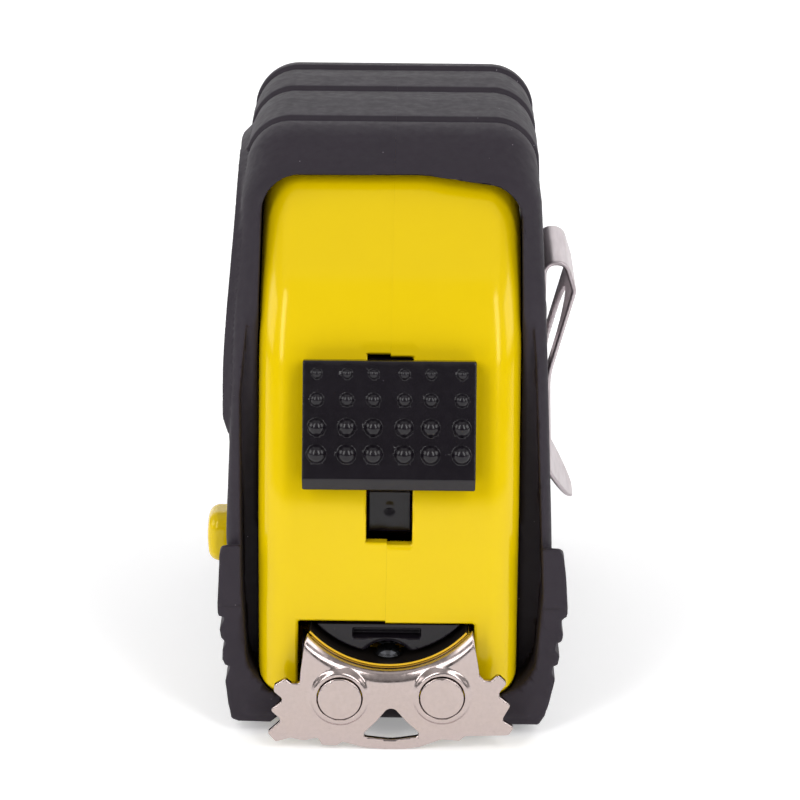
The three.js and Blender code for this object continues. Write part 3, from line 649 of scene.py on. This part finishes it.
# ---------- end hook and magnets ----------
# Outlines seen from the front, as (x, z, radius), before the hook leans.
HOOK_STEP = 0.14
MAGNET_STEP = 0.15
HOOK_SHEET = 0.9
HOOK_LEAN = math.radians(1.1)
HOOK_FACE_Y = -46.0
HOOK_CENTRE = (0.45, 8.0)
HOOK_OUTLINE = [
    (1.8, 0.1, 3.0), (4.1, 0.4, 3.0), (7.1, 1.5, 0.7), (9.7, 1.25, 0.35),
    (10.5, 1.98, 0.45), (16.7, 2.05, 0.7), (17.5, 3.3, 0.45), (15.75, 4.45, 0.45),
    (17.0, 6.7, 0.45), (15.15, 8.3, 0.6), (16.5, 10.1, 0.55), (15.2, 11.45, 0.5),
    (14.2, 10.45, 0.4), (13.3, 10.55, 0.35), (12.6, 11.3, 0.3), (12.35, 13.2, 2.0),
    (11.35, 19.6, 0.2), (-10.9, 19.4, 0.2), (-12.1, 16.3, 2.0), (-12.75, 12.0, 1.0),
    (-12.9, 10.3, 0.35), (-14.1, 10.35, 0.35), (-14.9, 11.1, 0.45), (-16.5, 10.1, 0.5),
    (-16.6, 9.1, 0.4), (-15.2, 7.8, 0.5), (-17.2, 6.3, 0.45), (-15.6, 4.7, 0.45),
    (-17.7, 2.8, 0.45), (-16.5, 1.35, 0.4), (-14.4, 1.95, 1.0), (-12.5, 1.5, 1.0),
    (-10.5, 1.95, 0.4), (-9.9, 0.8, 0.4), (-7.8, 0.7, 0.4), (-6.95, 1.25, 0.35),
    (-3.8, 0.35, 2.0), (-1.0, 0.1, 3.0),
]
NAIL_HOLE = [
    (-4.4, 2.1, 0.45), (0.0, 1.5, 9.0), (4.4, 2.1, 0.45), (2.1, 4.35, 2.5),
    (0.0, 6.95, 1.1), (-2.1, 4.35, 2.5),
]
HOOK_EDGE = 0.16
HOOK_BEND = 1.6
NAIL_HOLE_EDGE = 0.14
HOOK_PLATE_REAR_Y = -44.2
HOOK_HOLES_REAR_Y = -43.0
HOOK_TAB_HALF = 11.2
HOOK_TAB_FRONT_Y = -44.6
HOOK_TAB_REAR_Y = -33.5
HOOK_TAB_GAP = 0.06
MAGNET_X = 7.25
MAGNET_Z = 8.15
MAGNET_RADIUS = 3.1
MAGNET_GAP = 0.14
MAGNET_Y = (-46.75, -44.4)
MAGNET_EDGE = 0.18
CUP_FOOT = 4.5
CUP_TOP = 3.6
CUP_HEIGHT = 0.5
RIVET_YS = (-40.3, -35.6)
RIVET_SLOT_HALF = 1.3
RIVET_SLOT_FRONT = 2.3
RIVET_SLOT_Z = (5.0, 20.0)
RIVET_SLOT_EDGE = 0.05


def hook_local(x, z):
    """Front-view coordinates of the hook, which hangs a degree out of level."""
    dx = x - HOOK_CENTRE[0]
    dz = z - HOOK_CENTRE[1]
    cos, sin = math.cos(HOOK_LEAN), math.sin(HOOK_LEAN)
    return dx * cos + dz * sin, HOOK_CENTRE[1] - dx * sin + dz * cos


def hook_field(x, y, z):
    """One bent sheet: a plate in front, a tab under the blade, cups pressed round the magnets, and holes."""
    u, v = hook_local(x, z)
    cups = 1e3
    for side in (-1, 1):
        cups = np.minimum(cups, ring_distance(u, v, (side * MAGNET_X, MAGNET_Z), 0.0))
    pressed = y + CUP_HEIGHT * (1 - smooth(cups, CUP_TOP, CUP_FOOT))
    under_blade = BLADE_RADIUS + BLADE_THICK + HOOK_TAB_GAP
    below_blade = ring_distance(x, z, (0.0, BLADE_CENTRE_Z), under_blade)
    half = HOOK_SHEET / 2
    middle = [
        (HOOK_TAB_REAR_Y, half, 0.0),
        (HOOK_FACE_Y + half, half, HOOK_BEND),
        (HOOK_FACE_Y + half, 60.0, 0.0),
    ]
    sheet = np.abs(path_distance(pressed, below_blade, middle, closed=False)) - half
    plate_edge = np.maximum(path_distance(u, v, HOOK_OUTLINE), y - HOOK_PLATE_REAR_Y)
    tab_edge = np.maximum(np.abs(u) - HOOK_TAB_HALF, HOOK_TAB_FRONT_Y - y)
    body = meet(sheet, np.minimum(plate_edge, tab_edge), HOOK_EDGE)
    behind_plate = y - HOOK_HOLES_REAR_Y
    body = cut(body, np.maximum(cups - MAGNET_RADIUS - MAGNET_GAP, behind_plate), EDGE_FINE)
    body = cut(body, np.maximum(path_distance(u, v, NAIL_HOLE), behind_plate), NAIL_HOLE_EDGE)
    for rivet_y in RIVET_YS:
        low = (-RIVET_SLOT_HALF, rivet_y - RIVET_SLOT_FRONT, RIVET_SLOT_Z[0])
        high = (RIVET_SLOT_HALF, rivet_y + RIVET_SLOT_HALF, RIVET_SLOT_Z[1])
        body = cut(body, box_distance(x, y, z, low, high, EDGE_SOFT), RIVET_SLOT_EDGE)
    return body


def magnet_field(side):
    def field(x, y, z):
        u, v = hook_local(x, z)
        disc = ring_distance(u, v, (side * MAGNET_X, MAGNET_Z), MAGNET_RADIUS)
        return meet(disc, between(y, *MAGNET_Y), MAGNET_EDGE)

    return field


# ---------- belt clip ----------
# The strip's middle line as (x, z, radius), and its slot and rounded tip seen from the side.
CLIP_STEP = 0.22
CLIP_HALF = 10.0
CLIP_THICK = 0.7
CLIP_PATH = [
    (22.25, 47.0, 0.0), (22.25, 61.9, 1.7), (25.4, 61.9, 1.6), (26.75, 57.6, 1.2),
    (23.15, 44.5, 12.0), (23.6, 29.3, 3.0), (27.3, 23.2, 0.0),
]
CLIP_SLOT = [(-6.4, 33.0, 6.2), (6.4, 33.0, 6.2), (6.4, 55.2, 6.2), (-6.4, 55.2, 6.2)]


CLIP_TIP = [(-10.0, 23.0, 9.0), (10.0, 23.0, 9.0), (10.0, 80.0, 1.0), (-10.0, 80.0, 1.0)]
CLIP_LEGS_PART_X = 22.7
CLIP_SCREW_HOLE = 1.9


def clip_field(x, y, z):
    """A bent strip: the leg on the case has the screw's hole, and the outer leg has the long slot."""
    strip = np.abs(path_distance(x, z, CLIP_PATH, closed=False)) - CLIP_THICK / 2
    body = meet(strip, np.abs(y) - CLIP_HALF, EDGE_SOFT)
    body = cut(body, np.maximum(path_distance(y, z, CLIP_SLOT), CLIP_LEGS_PART_X - x), EDGE_FINE)
    hole = np.maximum(ring_distance(y, z, CLIP_SCREW_YZ, CLIP_SCREW_HOLE), x - CLIP_LEGS_PART_X)
    body = cut(body, hole, EDGE_FINE)
    return meet(body, path_distance(y, z, CLIP_TIP), EDGE_SOFT)


# ---------- side button ----------
BUTTON_STEP = 0.2
BUTTON_HALF = 3.75
BUTTON_CORNER = 2.4
BUTTON_FACE_X = -26.6
BUTTON_FACE_CROWN = 0.03
BUTTON_FACE_EDGE = 1.3
BUTTON_BACK_X = -20.4
POCKET_RADIUS = 3.1
POCKET_FLOOR_X = -25.0
BUTTON_STEM_RADIUS = 1.6
BUTTON_STEM_X = (-25.4, -16.1)
SPRING_ENDS_X = (-24.6, -18.8)
SPRING_TURNS = 4
SPRING_RADIUS = 2.45
SPRING_WIRE = 0.24
SPRING_STEPS = 96
WIRE_SIDES = 8


def button_field(x, y, z):
    """A crowned square cap with a pocket for the spring behind it and a stem down the middle."""
    dy = y - BUTTON_YZ[0]
    dz = z - BUTTON_YZ[1]
    face = BUTTON_FACE_X + BUTTON_FACE_CROWN * (dy**2 + dz**2)
    sides = meet(np.abs(dy) - BUTTON_HALF, np.abs(dz) - BUTTON_HALF, BUTTON_CORNER)
    cap = meet(meet(sides, face - x, BUTTON_FACE_EDGE), x - BUTTON_BACK_X, EDGE_SMALL)
    pocket = np.maximum(ring_distance(y, z, BUTTON_YZ, POCKET_RADIUS), POCKET_FLOOR_X - x)
    stem = np.maximum(ring_distance(y, z, BUTTON_YZ, BUTTON_STEM_RADIUS), between(x, *BUTTON_STEM_X))
    return add(cut(cap, pocket, EDGE_FINE), stem, EDGE_FINE)


def build_button_spring():
    """A coil of round wire between the case's wall and the button."""
    points = []
    for i in range(SPRING_STEPS + 1):
        share = i / SPRING_STEPS
        angle = 2 * math.pi * SPRING_TURNS * share
        centre_x = SPRING_ENDS_X[0] + (SPRING_ENDS_X[1] - SPRING_ENDS_X[0]) * share
        for j in range(WIRE_SIDES):
            turn = 2 * math.pi * j / WIRE_SIDES
            away = SPRING_RADIUS + SPRING_WIRE * math.cos(turn)
            x = centre_x + SPRING_WIRE * math.sin(turn)
            y = BUTTON_YZ[0] + away * math.cos(angle)
            z = BUTTON_YZ[1] + away * math.sin(angle)
            points.append((x * MM, y * MM, z * MM))
    mesh = bpy.data.meshes.new("button_coil")
    mesh.from_pydata(points, [], tube_faces(SPRING_STEPS + 1, WIRE_SIDES))
    mesh.shade_smooth()
    spring = linked("button_coil", mesh)
    spring.data.materials.append(FINISHES["spring_steel"])
    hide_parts("button_spring")
    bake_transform(spring)


# ---------- screws and label ----------
SCREW_STEP = 0.16
CASE_SCREW = {
    "head_radius": 2.8,
    "seat_x": NOSE_HALF - CASE_SCREW_SINK,
    "top_x": NOSE_HALF + 0.6,
    "shank_radius": 1.5,
    "tip_x": -8.5,
}
CLIP_SCREW = {"head_radius": 2.6, "seat_x": 22.6, "top_x": 23.2, "shank_radius": 1.4, "tip_x": 14.4}
SCREW_CROWN = 0.035
SCREW_HEAD_EDGE = 0.25
SCREW_OVERLAP = 0.1
CROSS_HALF = 0.36
CROSS_REACH = 0.62
CROSS_TAPER = 0.22
CROSS_DEPTH = 0.85
CROSS_EDGE = 0.06


def screw_field(centre, head_radius, seat_x, top_x, shank_radius, tip_x):
    """A screw along X with a crowned head and a tapering cross in it."""
    def field(x, y, z):
        away = ring_distance(y, z, centre, 0.0)
        crown = top_x - SCREW_CROWN * away**2
        head = meet(meet(away - head_radius, x - crown, SCREW_HEAD_EDGE), seat_x - x, EDGE_FINE)
        shank = np.maximum(away - shank_radius, between(x, tip_x, seat_x + SCREW_OVERLAP))
        body = add(head, shank, EDGE_FINE)
        dy = np.abs(y - centre[0])
        dz = np.abs(z - centre[1])
        reach = head_radius * CROSS_REACH - CROSS_TAPER * (top_x - x)
        upright = np.maximum(dy - CROSS_HALF, dz - reach)
        level = np.maximum(dz - CROSS_HALF, dy - reach)
        cross = np.maximum(np.minimum(upright, level), top_x - CROSS_DEPTH - x)
        return cut(body, cross, CROSS_EDGE)

    return field


LABEL_SIDES = 96
# The disc's outline from its back to its front, as (radius, x).
LABEL_PROFILE = [
    (13.95, -23.3), (14.0, -23.35), (14.0, -23.5), (13.9, -23.6), (12.1, -23.6),
    (11.95, -23.45), (11.55, -23.45), (11.4, -23.6), (4.3, -23.6), (4.15, -23.45),
    (3.75, -23.45), (3.6, -23.6),
]


def build_label():
    """The label disc, turned from its profile, with two fine ring grooves."""
    points = []
    for radius, x in LABEL_PROFILE:
        for i in range(LABEL_SIDES):
            angle = 2 * math.pi * i / LABEL_SIDES
            y = LABEL_YZ[0] + radius * math.cos(angle)
            z = LABEL_YZ[1] + radius * math.sin(angle)
            points.append((x * MM, y * MM, z * MM))
    mesh = bpy.data.meshes.new("side_label_skin")
    mesh.from_pydata(points, [], tube_faces(len(LABEL_PROFILE), LABEL_SIDES))
    mesh.shade_smooth()
    mesh.set_sharp_from_angle(angle=math.radians(30))
    return linked("side_label_skin", mesh)


# ---------- blade ----------
BLADE_FRONT = -43.9
BLADE_REAR = 22.0
BLADE_END_ROW = 0.3
BLADE_STEPS = 56
NUMBER_SIZE = 6.5
NUMBER_LIFT = 0.02


def blade_point(across, y, out):
    """A point in metres, given how far across and along the blade it is, and how far below the top face."""
    angle = across / BLADE_RADIUS
    radius = BLADE_RADIUS + out
    return (radius * math.sin(angle) * MM, y * MM, (BLADE_CENTRE_Z - radius * math.cos(angle)) * MM)


def build_blade():
    """A thin curved strip, hollow side up."""
    half = BLADE_RADIUS * math.asin(BLADE_CHORD / 2 / (BLADE_RADIUS + BLADE_THICK))
    rows = [BLADE_FRONT, BLADE_FRONT + BLADE_END_ROW, BLADE_REAR - BLADE_END_ROW, BLADE_REAR]
    loop = [(-half + 2 * half * i / BLADE_STEPS, 0.0) for i in range(BLADE_STEPS + 1)]
    loop += [(half - 2 * half * i / BLADE_STEPS, BLADE_THICK) for i in range(BLADE_STEPS + 1)]
    points = [blade_point(s, y, out) for y in rows for s, out in loop]
    count = len(loop)
    faces = ring_faces(len(rows), count)
    last = (len(rows) - 1) * count
    for i in range(BLADE_STEPS):
        j = count - 1 - i
        faces.append((i + 1, i, j, j - 1))
        faces.append((last + i, last + i + 1, last + j - 1, last + j))
    mesh = bpy.data.meshes.new("blade_strip_skin")
    mesh.from_pydata(points, [], faces)
    mesh.validate()
    mesh.shade_smooth()
    mesh.set_sharp_from_angle(angle=math.radians(40))
    return linked("blade_strip_skin", mesh)


def build_blade_numbers():
    """Centimetre numbers printed along the blade, curved with it."""
    points = []
    faces = []
    for centimetre in range(1, 7):
        curve = bpy.data.curves.new("number", "FONT")
        curve.body = str(centimetre)
        curve.size = NUMBER_SIZE
        curve.align_x = "CENTER"
        curve.align_y = "CENTER"
        curve.resolution_u = 4
        text = linked("number", curve)
        mesh = bpy.data.meshes.new_from_object(text)
        first = len(points)
        middle = BLADE_FRONT + 10 * centimetre
        points += [blade_point(-v.co.y, middle + v.co.x, -NUMBER_LIFT) for v in mesh.vertices]
        faces += [tuple(first + i for i in p.vertices) for p in mesh.polygons]
        bpy.data.objects.remove(text)
        bpy.data.meshes.remove(mesh)
        bpy.data.curves.remove(curve)
    mesh = bpy.data.meshes.new("blade_numbers")
    mesh.from_pydata(points, [], faces)
    return linked("blade_numbers", mesh)


# ---------- materials ----------
def tint(red, green, blue):
    """A colour with channels from 0 to 255, as linear values."""
    def linear(c):
        c = c / 255
        return c / 12.92 if c <= 0.04045 else ((c + 0.055) / 1.055) ** 2.4

    return (linear(red), linear(green), linear(blue), 1.0)


def add_node(tree, kind, values=None, **settings):
    """A node with its settings, its socket values and its links."""
    made = tree.nodes.new(kind)
    for key, value in settings.items():
        setattr(made, key, value)
    for key, value in (values or {}).items():
        if isinstance(value, bpy.types.NodeSocket):
            tree.links.new(value, made.inputs[key])
        else:
            made.inputs[key].default_value = value
    return made


class Finish:
    """A principled material with helpers for layers driven by position in millimetres."""

    def __init__(self, name, colour, roughness, metallic=0.0, specular=0.5):
        self.material = bpy.data.materials.new(name)
        self.material.use_nodes = True
        self.tree = self.material.node_tree
        self.shader = self.tree.nodes["Principled BSDF"]
        self.shader.inputs["Metallic"].default_value = metallic
        self.shader.inputs["Specular IOR Level"].default_value = specular
        self.position = add_node(self.tree, "ShaderNodeTexCoord").outputs["Object"]
        self.colour = colour
        self.colour_socket = None
        self.roughness = roughness
        self.heights = []

    def noise(self, size, detail=2.0, stretch=(1, 1, 1)):
        """Noise whose features are about so many millimetres across."""
        scale = [s / (size * MM) for s in stretch]
        mapping = add_node(self.tree, "ShaderNodeMapping", {"Vector": self.position, "Scale": scale})
        values = {"Vector": mapping.outputs[0], "Scale": 1.0, "Detail": detail}
        return add_node(self.tree, "ShaderNodeTexNoise", values).outputs["Fac"]

    def ramp(self, value, low, high, start=0.0, end=1.0):
        """A value carried from one range, low to high, to another, start to end."""
        values = {"Value": value, "From Min": low, "From Max": high, "To Min": start, "To Max": end}
        return add_node(self.tree, "ShaderNodeMapRange", values).outputs["Result"]

    def maths(self, operation, a, b=0.0):
        return add_node(self.tree, "ShaderNodeMath", {0: a, 1: b}, operation=operation).outputs[0]

    def axis(self, name):
        """One coordinate in millimetres."""
        parts = add_node(self.tree, "ShaderNodeSeparateXYZ", {0: self.position})
        return self.maths("DIVIDE", parts.outputs[name], MM)

    def paint(self, amount, colour):
        """Lays a colour over what is there, by an amount from 0 to 1."""
        below = self.colour_socket if self.colour_socket is not None else self.colour
        mix = add_node(self.tree, "ShaderNodeMix", {0: amount, 6: below, 7: colour}, data_type="RGBA")
        self.colour_socket = mix.outputs[2]

    def specks(self, spacing, share, size):
        """Tiny dots, one in a share of the cells of a grid with this spacing."""
        scale = 1 / (spacing * MM)
        cells = add_node(self.tree, "ShaderNodeTexVoronoi", {"Vector": self.position, "Scale": scale})
        dot = self.ramp(cells.outputs["Distance"], size / spacing, 0.6 * size / spacing)
        pick = add_node(self.tree, "ShaderNodeSeparateXYZ", {0: cells.outputs["Color"]})
        chosen = self.maths("LESS_THAN", pick.outputs[0], share)
        return self.maths("MULTIPLY", dot, chosen)

    def bump(self, height, depth):
        """A small relief, with its depth in millimetres."""
        self.heights.append((height, depth))

    def done(self, rough_value, spread):
        """Joins the layers to the shader. Roughness varies round its value by a spread."""
        rough = self.ramp(rough_value, 0.3, 0.7, self.roughness - spread, self.roughness + spread)
        self.tree.links.new(rough, self.shader.inputs["Roughness"])
        self.tree.links.new(self.colour_socket, self.shader.inputs["Base Color"])
        normal = None
        for height, depth in self.heights:
            values = {"Height": height, "Distance": depth * MM, "Strength": 1.0}
            if normal is not None:
                values["Normal"] = normal
            normal = add_node(self.tree, "ShaderNodeBump", values).outputs["Normal"]
        if normal is not None:
            self.tree.links.new(normal, self.shader.inputs["Normal"])
        return self.material


def yellow_finish():
    made = Finish("yellow_abs", tint(225, 193, 0), 0.16, specular=0.5)
    made.shader.inputs["Specular Tint"].default_value = tint(255, 244, 185)
    cloud = made.noise(9.0, 3.0)
    made.paint(made.ramp(cloud, 0.3, 0.7, 0.0, 0.35), tint(221, 187, 2))
    made.bump(made.noise(0.9, 2.0), 0.004)
    return made.done(made.noise(3.0), 0.03)


def rubber_finish():
    made = Finish("black_rubber", tint(40, 34, 42), 0.6, specular=0.28)
    made.paint(made.ramp(made.noise(6.0, 4.0), 0.3, 0.7, 0.0, 0.5), tint(46, 39, 48))
    made.paint(made.specks(1.7, 0.2, 0.1), tint(130, 122, 130))
    made.bump(made.noise(0.35, 3.0), 0.012)
    return made.done(made.noise(1.2, 3.0), 0.06)


def plastic_finish(name, colour, lighter, roughness):
    made = Finish(name, tint(*colour), roughness, specular=0.36)
    made.paint(made.ramp(made.noise(4.0, 4.0), 0.3, 0.7, 0.0, 0.6), tint(*lighter))
    made.paint(made.specks(1.1, 0.1, 0.07), tint(90, 84, 94))
    made.bump(made.noise(0.6, 3.0), 0.006)
    return made.done(made.noise(1.0, 2.0), 0.05)


def metal_finish(name, colour, darker, roughness, stretch, grain):
    made = Finish(name, tint(*colour), roughness, metallic=1.0)
    brushed = made.noise(0.5, 3.0, stretch)
    made.paint(made.ramp(brushed, 0.35, 0.75, 0.0, 0.6), tint(*darker))
    made.bump(brushed, grain)
    return made.done(made.noise(0.8, 3.0, stretch), 0.06)


# The blade's scale: how often a line comes, how long it is and how wide, in millimetres.
SCALE_LINES = ((1.0, 3.0, 0.16), (5.0, 4.6, 0.2), (10.0, 7.0, 0.28))
SCALE_STARTS = 0.05
# How far back from the end the blade's top is painted black, as painted shade under the brake shoe, in
# millimetres.
SHADE_BAND_LENGTH = 6.0


def blade_finish():
    """Yellow paint with the scale's lines in from both edges, and painted shade: a black band at the end,
    where the blade lies in shade under the brake shoe.
    """
    made = Finish("blade_paint", tint(238, 190, 20), 0.35, specular=0.5)
    made.paint(made.ramp(made.noise(5.0, 2.0), 0.3, 0.7, 0.0, 0.3), tint(230, 182, 24))
    from_end = made.maths("SUBTRACT", made.axis("Y"), BLADE_FRONT)
    in_from_edge = made.maths("SUBTRACT", BLADE_CHORD / 2, made.maths("ABSOLUTE", made.axis("X")))
    past_edge = made.maths("GREATER_THAN", from_end, SCALE_STARTS)
    for every, length, width in SCALE_LINES:
        offset = made.maths("PINGPONG", from_end, every / 2)
        near = made.maths("LESS_THAN", offset, width / 2)
        shallow = made.maths("LESS_THAN", in_from_edge, length)
        tick = made.maths("MULTIPLY", made.maths("MULTIPLY", near, shallow), past_edge)
        made.paint(tick, tint(28, 24, 22))
    # Painted shade: the blade's top is black near its end, standing in for the shade under the brake shoe.
    painted_shade_band = made.maths("MULTIPLY", past_edge, made.maths("LESS_THAN", from_end, SHADE_BAND_LENGTH))
    made.paint(painted_shade_band, tint(24, 20, 18))
    made.bump(made.noise(1.5, 2.0), 0.003)
    return made.done(made.noise(2.0), 0.04)


# Plastics: colour, lighter clouds and roughness.
PLASTICS = {
    "black_plastic": ((18, 14, 20), (24, 20, 26), 0.2),
    "reel_plastic": ((52, 50, 54), (62, 60, 64), 0.45),
    "label_film": ((42, 40, 46), (52, 50, 56), 0.25),
}
# Metals: colour, darker streaks, roughness, how the grain is stretched and how deep it is in millimetres.
METALS = {
    "nickel_plate": ((190, 176, 173), (180, 166, 162), 0.2, (1, 1, 1), 0.001),
    "satin_steel": ((190, 179, 182), (174, 164, 167), 0.34, (1, 0.1, 1), 0.004),
    "spring_steel": ((96, 97, 101), (80, 81, 86), 0.3, (1, 1, 1), 0.002),
    "screw_steel": ((104, 102, 104), (84, 82, 84), 0.4, (1, 1, 1), 0.003),
}
FINISHES = {
    "yellow_abs": yellow_finish(),
    "black_rubber": rubber_finish(),
    "blade_paint": blade_finish(),
}
FINISHES.update({name: plastic_finish(name, *values) for name, values in PLASTICS.items()})
FINISHES.update({name: metal_finish(name, *values) for name, values in METALS.items()})


# ---------- the pieces ----------
def place(piece, node, slot, body):
    """Puts a finished piece in the frame in place of a CAD node."""
    piece.data.materials.append(FINISHES[slot])
    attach(piece, body)
    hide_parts(node)


for side, direction in (("left", -1), ("right", 1)):
    shell, grip, magnet = f"{side}_shell", f"{side}_grip", f"magnet_{side}"
    place(skin(shell, SHELL_STEP, shell_field(side), SHELL_ROOM, side), shell, "yellow_abs", "case")
    place(skin(grip, GRIP_STEP, grip_field(side), GRIP_ROOM, side), grip, "black_rubber", "case")
    place(skin(magnet, MAGNET_STEP, magnet_field(direction)), magnet, "nickel_plate", "hook")
place(skin("lock_slider", LOCK_STEP, lock_field), "lock_slider", "black_plastic", "lock")
place(skin("brake_shoe", SHOE_STEP, brake_field), "brake_shoe", "black_plastic", "brake")
place(skin("hook_plate", HOOK_STEP, hook_field), "hook_plate", "nickel_plate", "hook")
place(skin("belt_clip", CLIP_STEP, clip_field), "belt_clip", "satin_steel", "case")
place(skin("side_button", BUTTON_STEP, button_field), "side_button", "yellow_abs", "button")
place(build_label(), "side_label", "label_film", "case")
place(build_blade(), "blade_strip", "blade_paint", "blade")
for i, centre in enumerate(CASE_SCREWS):
    name = f"case_screw_{i + 1}"
    place(skin(name, SCREW_STEP, screw_field(centre, **CASE_SCREW)), name, "screw_steel", "case")
clip_screw = screw_field(CLIP_SCREW_YZ, **CLIP_SCREW)
place(skin("clip_screw", SCREW_STEP, clip_screw), "clip_screw", "screw_steel", "case")

numbers = build_blade_numbers()
numbers.data.materials.append(FINISHES["black_plastic"])
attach(numbers, "blade")

build_button_spring()

# CAD pieces that keep their own shape and only take a finish.
CARRIED = {
    "black_rubber": ("mouth_bumper", "button_brake_pad"),
    "blade_paint": ("blade_coil",),
    "reel_plastic": ("drum_hub", "drum_flange_left", "drum_flange_right"),
    # The hook's rivets take the darker spring steel. It is partly their own steel and partly painted shade,
    # for the shade they lie in under the brake shoe.
    "spring_steel": ("power_spring", "centre_post", "hook_rivet_front", "hook_rivet_rear"),
}
for slot, nodes in CARRIED.items():
    for node in nodes:
        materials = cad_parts[node].data.materials
        materials.clear()
        materials.append(FINISHES[slot])


# ---------- floor, light and camera, in metres ----------
FLOOR_HALF = 0.9
FLOOR_FRONT = -0.9
FLOOR_BACK = 0.55
FLOOR_BEND = 0.25
FLOOR_BEND_STEPS = 12
FLOOR_TOP = 1.0
FLOOR_GLOW = 0.3
LIGHTS_AIM = (0, 0, 0.04)
# Area lights: where each stands, its width and height, and its power in watts.
LIGHTS = {"top_box": ((0, 0.1, 1.1), 1.3, 1.1, 1.45)}
for name, direction in (("left", -1), ("right", 1)):
    LIGHTS[f"{name}_key"] = ((direction * 0.5, -0.76, 0.62), 0.24, 0.9, 3.7)
    LIGHTS[f"{name}_box"] = ((direction * 1.0, -0.15, 0.45), 0.6, 0.6, 2.9)
SKY_COLOUR = (1.0, 0.995, 1.0, 1.0)
SKY_LOW = 0.06
SKY_HIGH = 0.36
SKY_HIGH_FROM = 0.5
CAMERA_CENTRE = (0, 0, 0.040)
CAMERA_AIM = (0.0012, 0, 0.0373)
CAMERA_UP_ANGLE = math.radians(18.02)
CAMERA_SIDE_ANGLE = math.radians(0.37)
CAMERA_ROLL = math.radians(0.5)
CAMERA_DISTANCE = 0.5266
CAMERA_LENS = 156.5
CAMERA_SENSOR = 36


def build_floor():
    """A pale sheet that curves up behind the object."""
    profile = [(FLOOR_FRONT, 0.0), (FLOOR_BACK, 0.0)]
    for i in range(1, FLOOR_BEND_STEPS + 1):
        angle = math.radians(90 * i / FLOOR_BEND_STEPS)
        profile.append((FLOOR_BACK + FLOOR_BEND * math.sin(angle), FLOOR_BEND * (1 - math.cos(angle))))
    profile.append((FLOOR_BACK + FLOOR_BEND, FLOOR_TOP))
    points = [(x, y, z) for y, z in profile for x in (-FLOOR_HALF, FLOOR_HALF)]
    faces = [(2 * i, 2 * i + 1, 2 * i + 3, 2 * i + 2) for i in range(len(profile) - 1)]
    mesh = bpy.data.meshes.new("floor")
    mesh.from_pydata(points, [], faces)
    mesh.shade_smooth()
    made = Finish("floor", tint(252, 252, 252), 0.7, specular=0.2)
    made.shader.inputs["Emission Color"].default_value = (1.0, 1.0, 1.0, 1.0)
    made.shader.inputs["Emission Strength"].default_value = FLOOR_GLOW
    made.paint(made.ramp(made.noise(60.0), 0.3, 0.7, 0.0, 0.3), tint(250, 249, 250))
    mesh.materials.append(made.done(made.noise(30.0), 0.05))
    linked("floor", mesh)


def build_lights():
    for name, (stand, width, height, power) in LIGHTS.items():
        data = bpy.data.lights.new(name, "AREA")
        data.shape = "RECTANGLE"
        data.size = width
        data.size_y = height
        data.energy = power
        light = linked(name, data)
        light.location = stand
        light.rotation_euler = (Vector(LIGHTS_AIM) - light.location).to_track_quat("-Z", "Y").to_euler()


def build_sky():
    """A soft surround that is dim at the floor and brighter overhead."""
    world = bpy.data.worlds.new("studio")
    world.use_nodes = True
    tree = world.node_tree
    shade = tree.nodes["Background"]
    shade.inputs["Color"].default_value = SKY_COLOUR
    direction = add_node(tree, "ShaderNodeTexCoord").outputs["Generated"]
    height = add_node(tree, "ShaderNodeSeparateXYZ", {0: direction}).outputs[2]
    values = {"Value": height, "From Max": SKY_HIGH_FROM, "To Min": SKY_LOW, "To Max": SKY_HIGH}
    strength = add_node(tree, "ShaderNodeMapRange", values).outputs["Result"]
    tree.links.new(strength, shade.inputs["Strength"])
    bpy.context.scene.world = world


def build_camera():
    """The camera stands out from the centre by a distance at two angles, and looks at its aim."""
    level = math.cos(CAMERA_UP_ANGLE)
    across = math.sin(CAMERA_SIDE_ANGLE) * level
    forward = -math.cos(CAMERA_SIDE_ANGLE) * level
    out = Vector((across, forward, math.sin(CAMERA_UP_ANGLE)))
    data = bpy.data.cameras.new("camera")
    data.lens = CAMERA_LENS
    data.sensor_width = CAMERA_SENSOR
    camera = linked("camera", data)
    camera.location = Vector(CAMERA_CENTRE) + out * CAMERA_DISTANCE
    look = (Vector(CAMERA_AIM) - camera.location).to_track_quat("-Z", "Y").to_matrix()
    camera.rotation_euler = (look @ Matrix.Rotation(CAMERA_ROLL, 3, "Z")).to_euler()
    bpy.context.scene.camera = camera
    bpy.context.scene.view_settings.view_transform = "Standard"


build_floor()
build_lights()
build_sky()
build_camera()
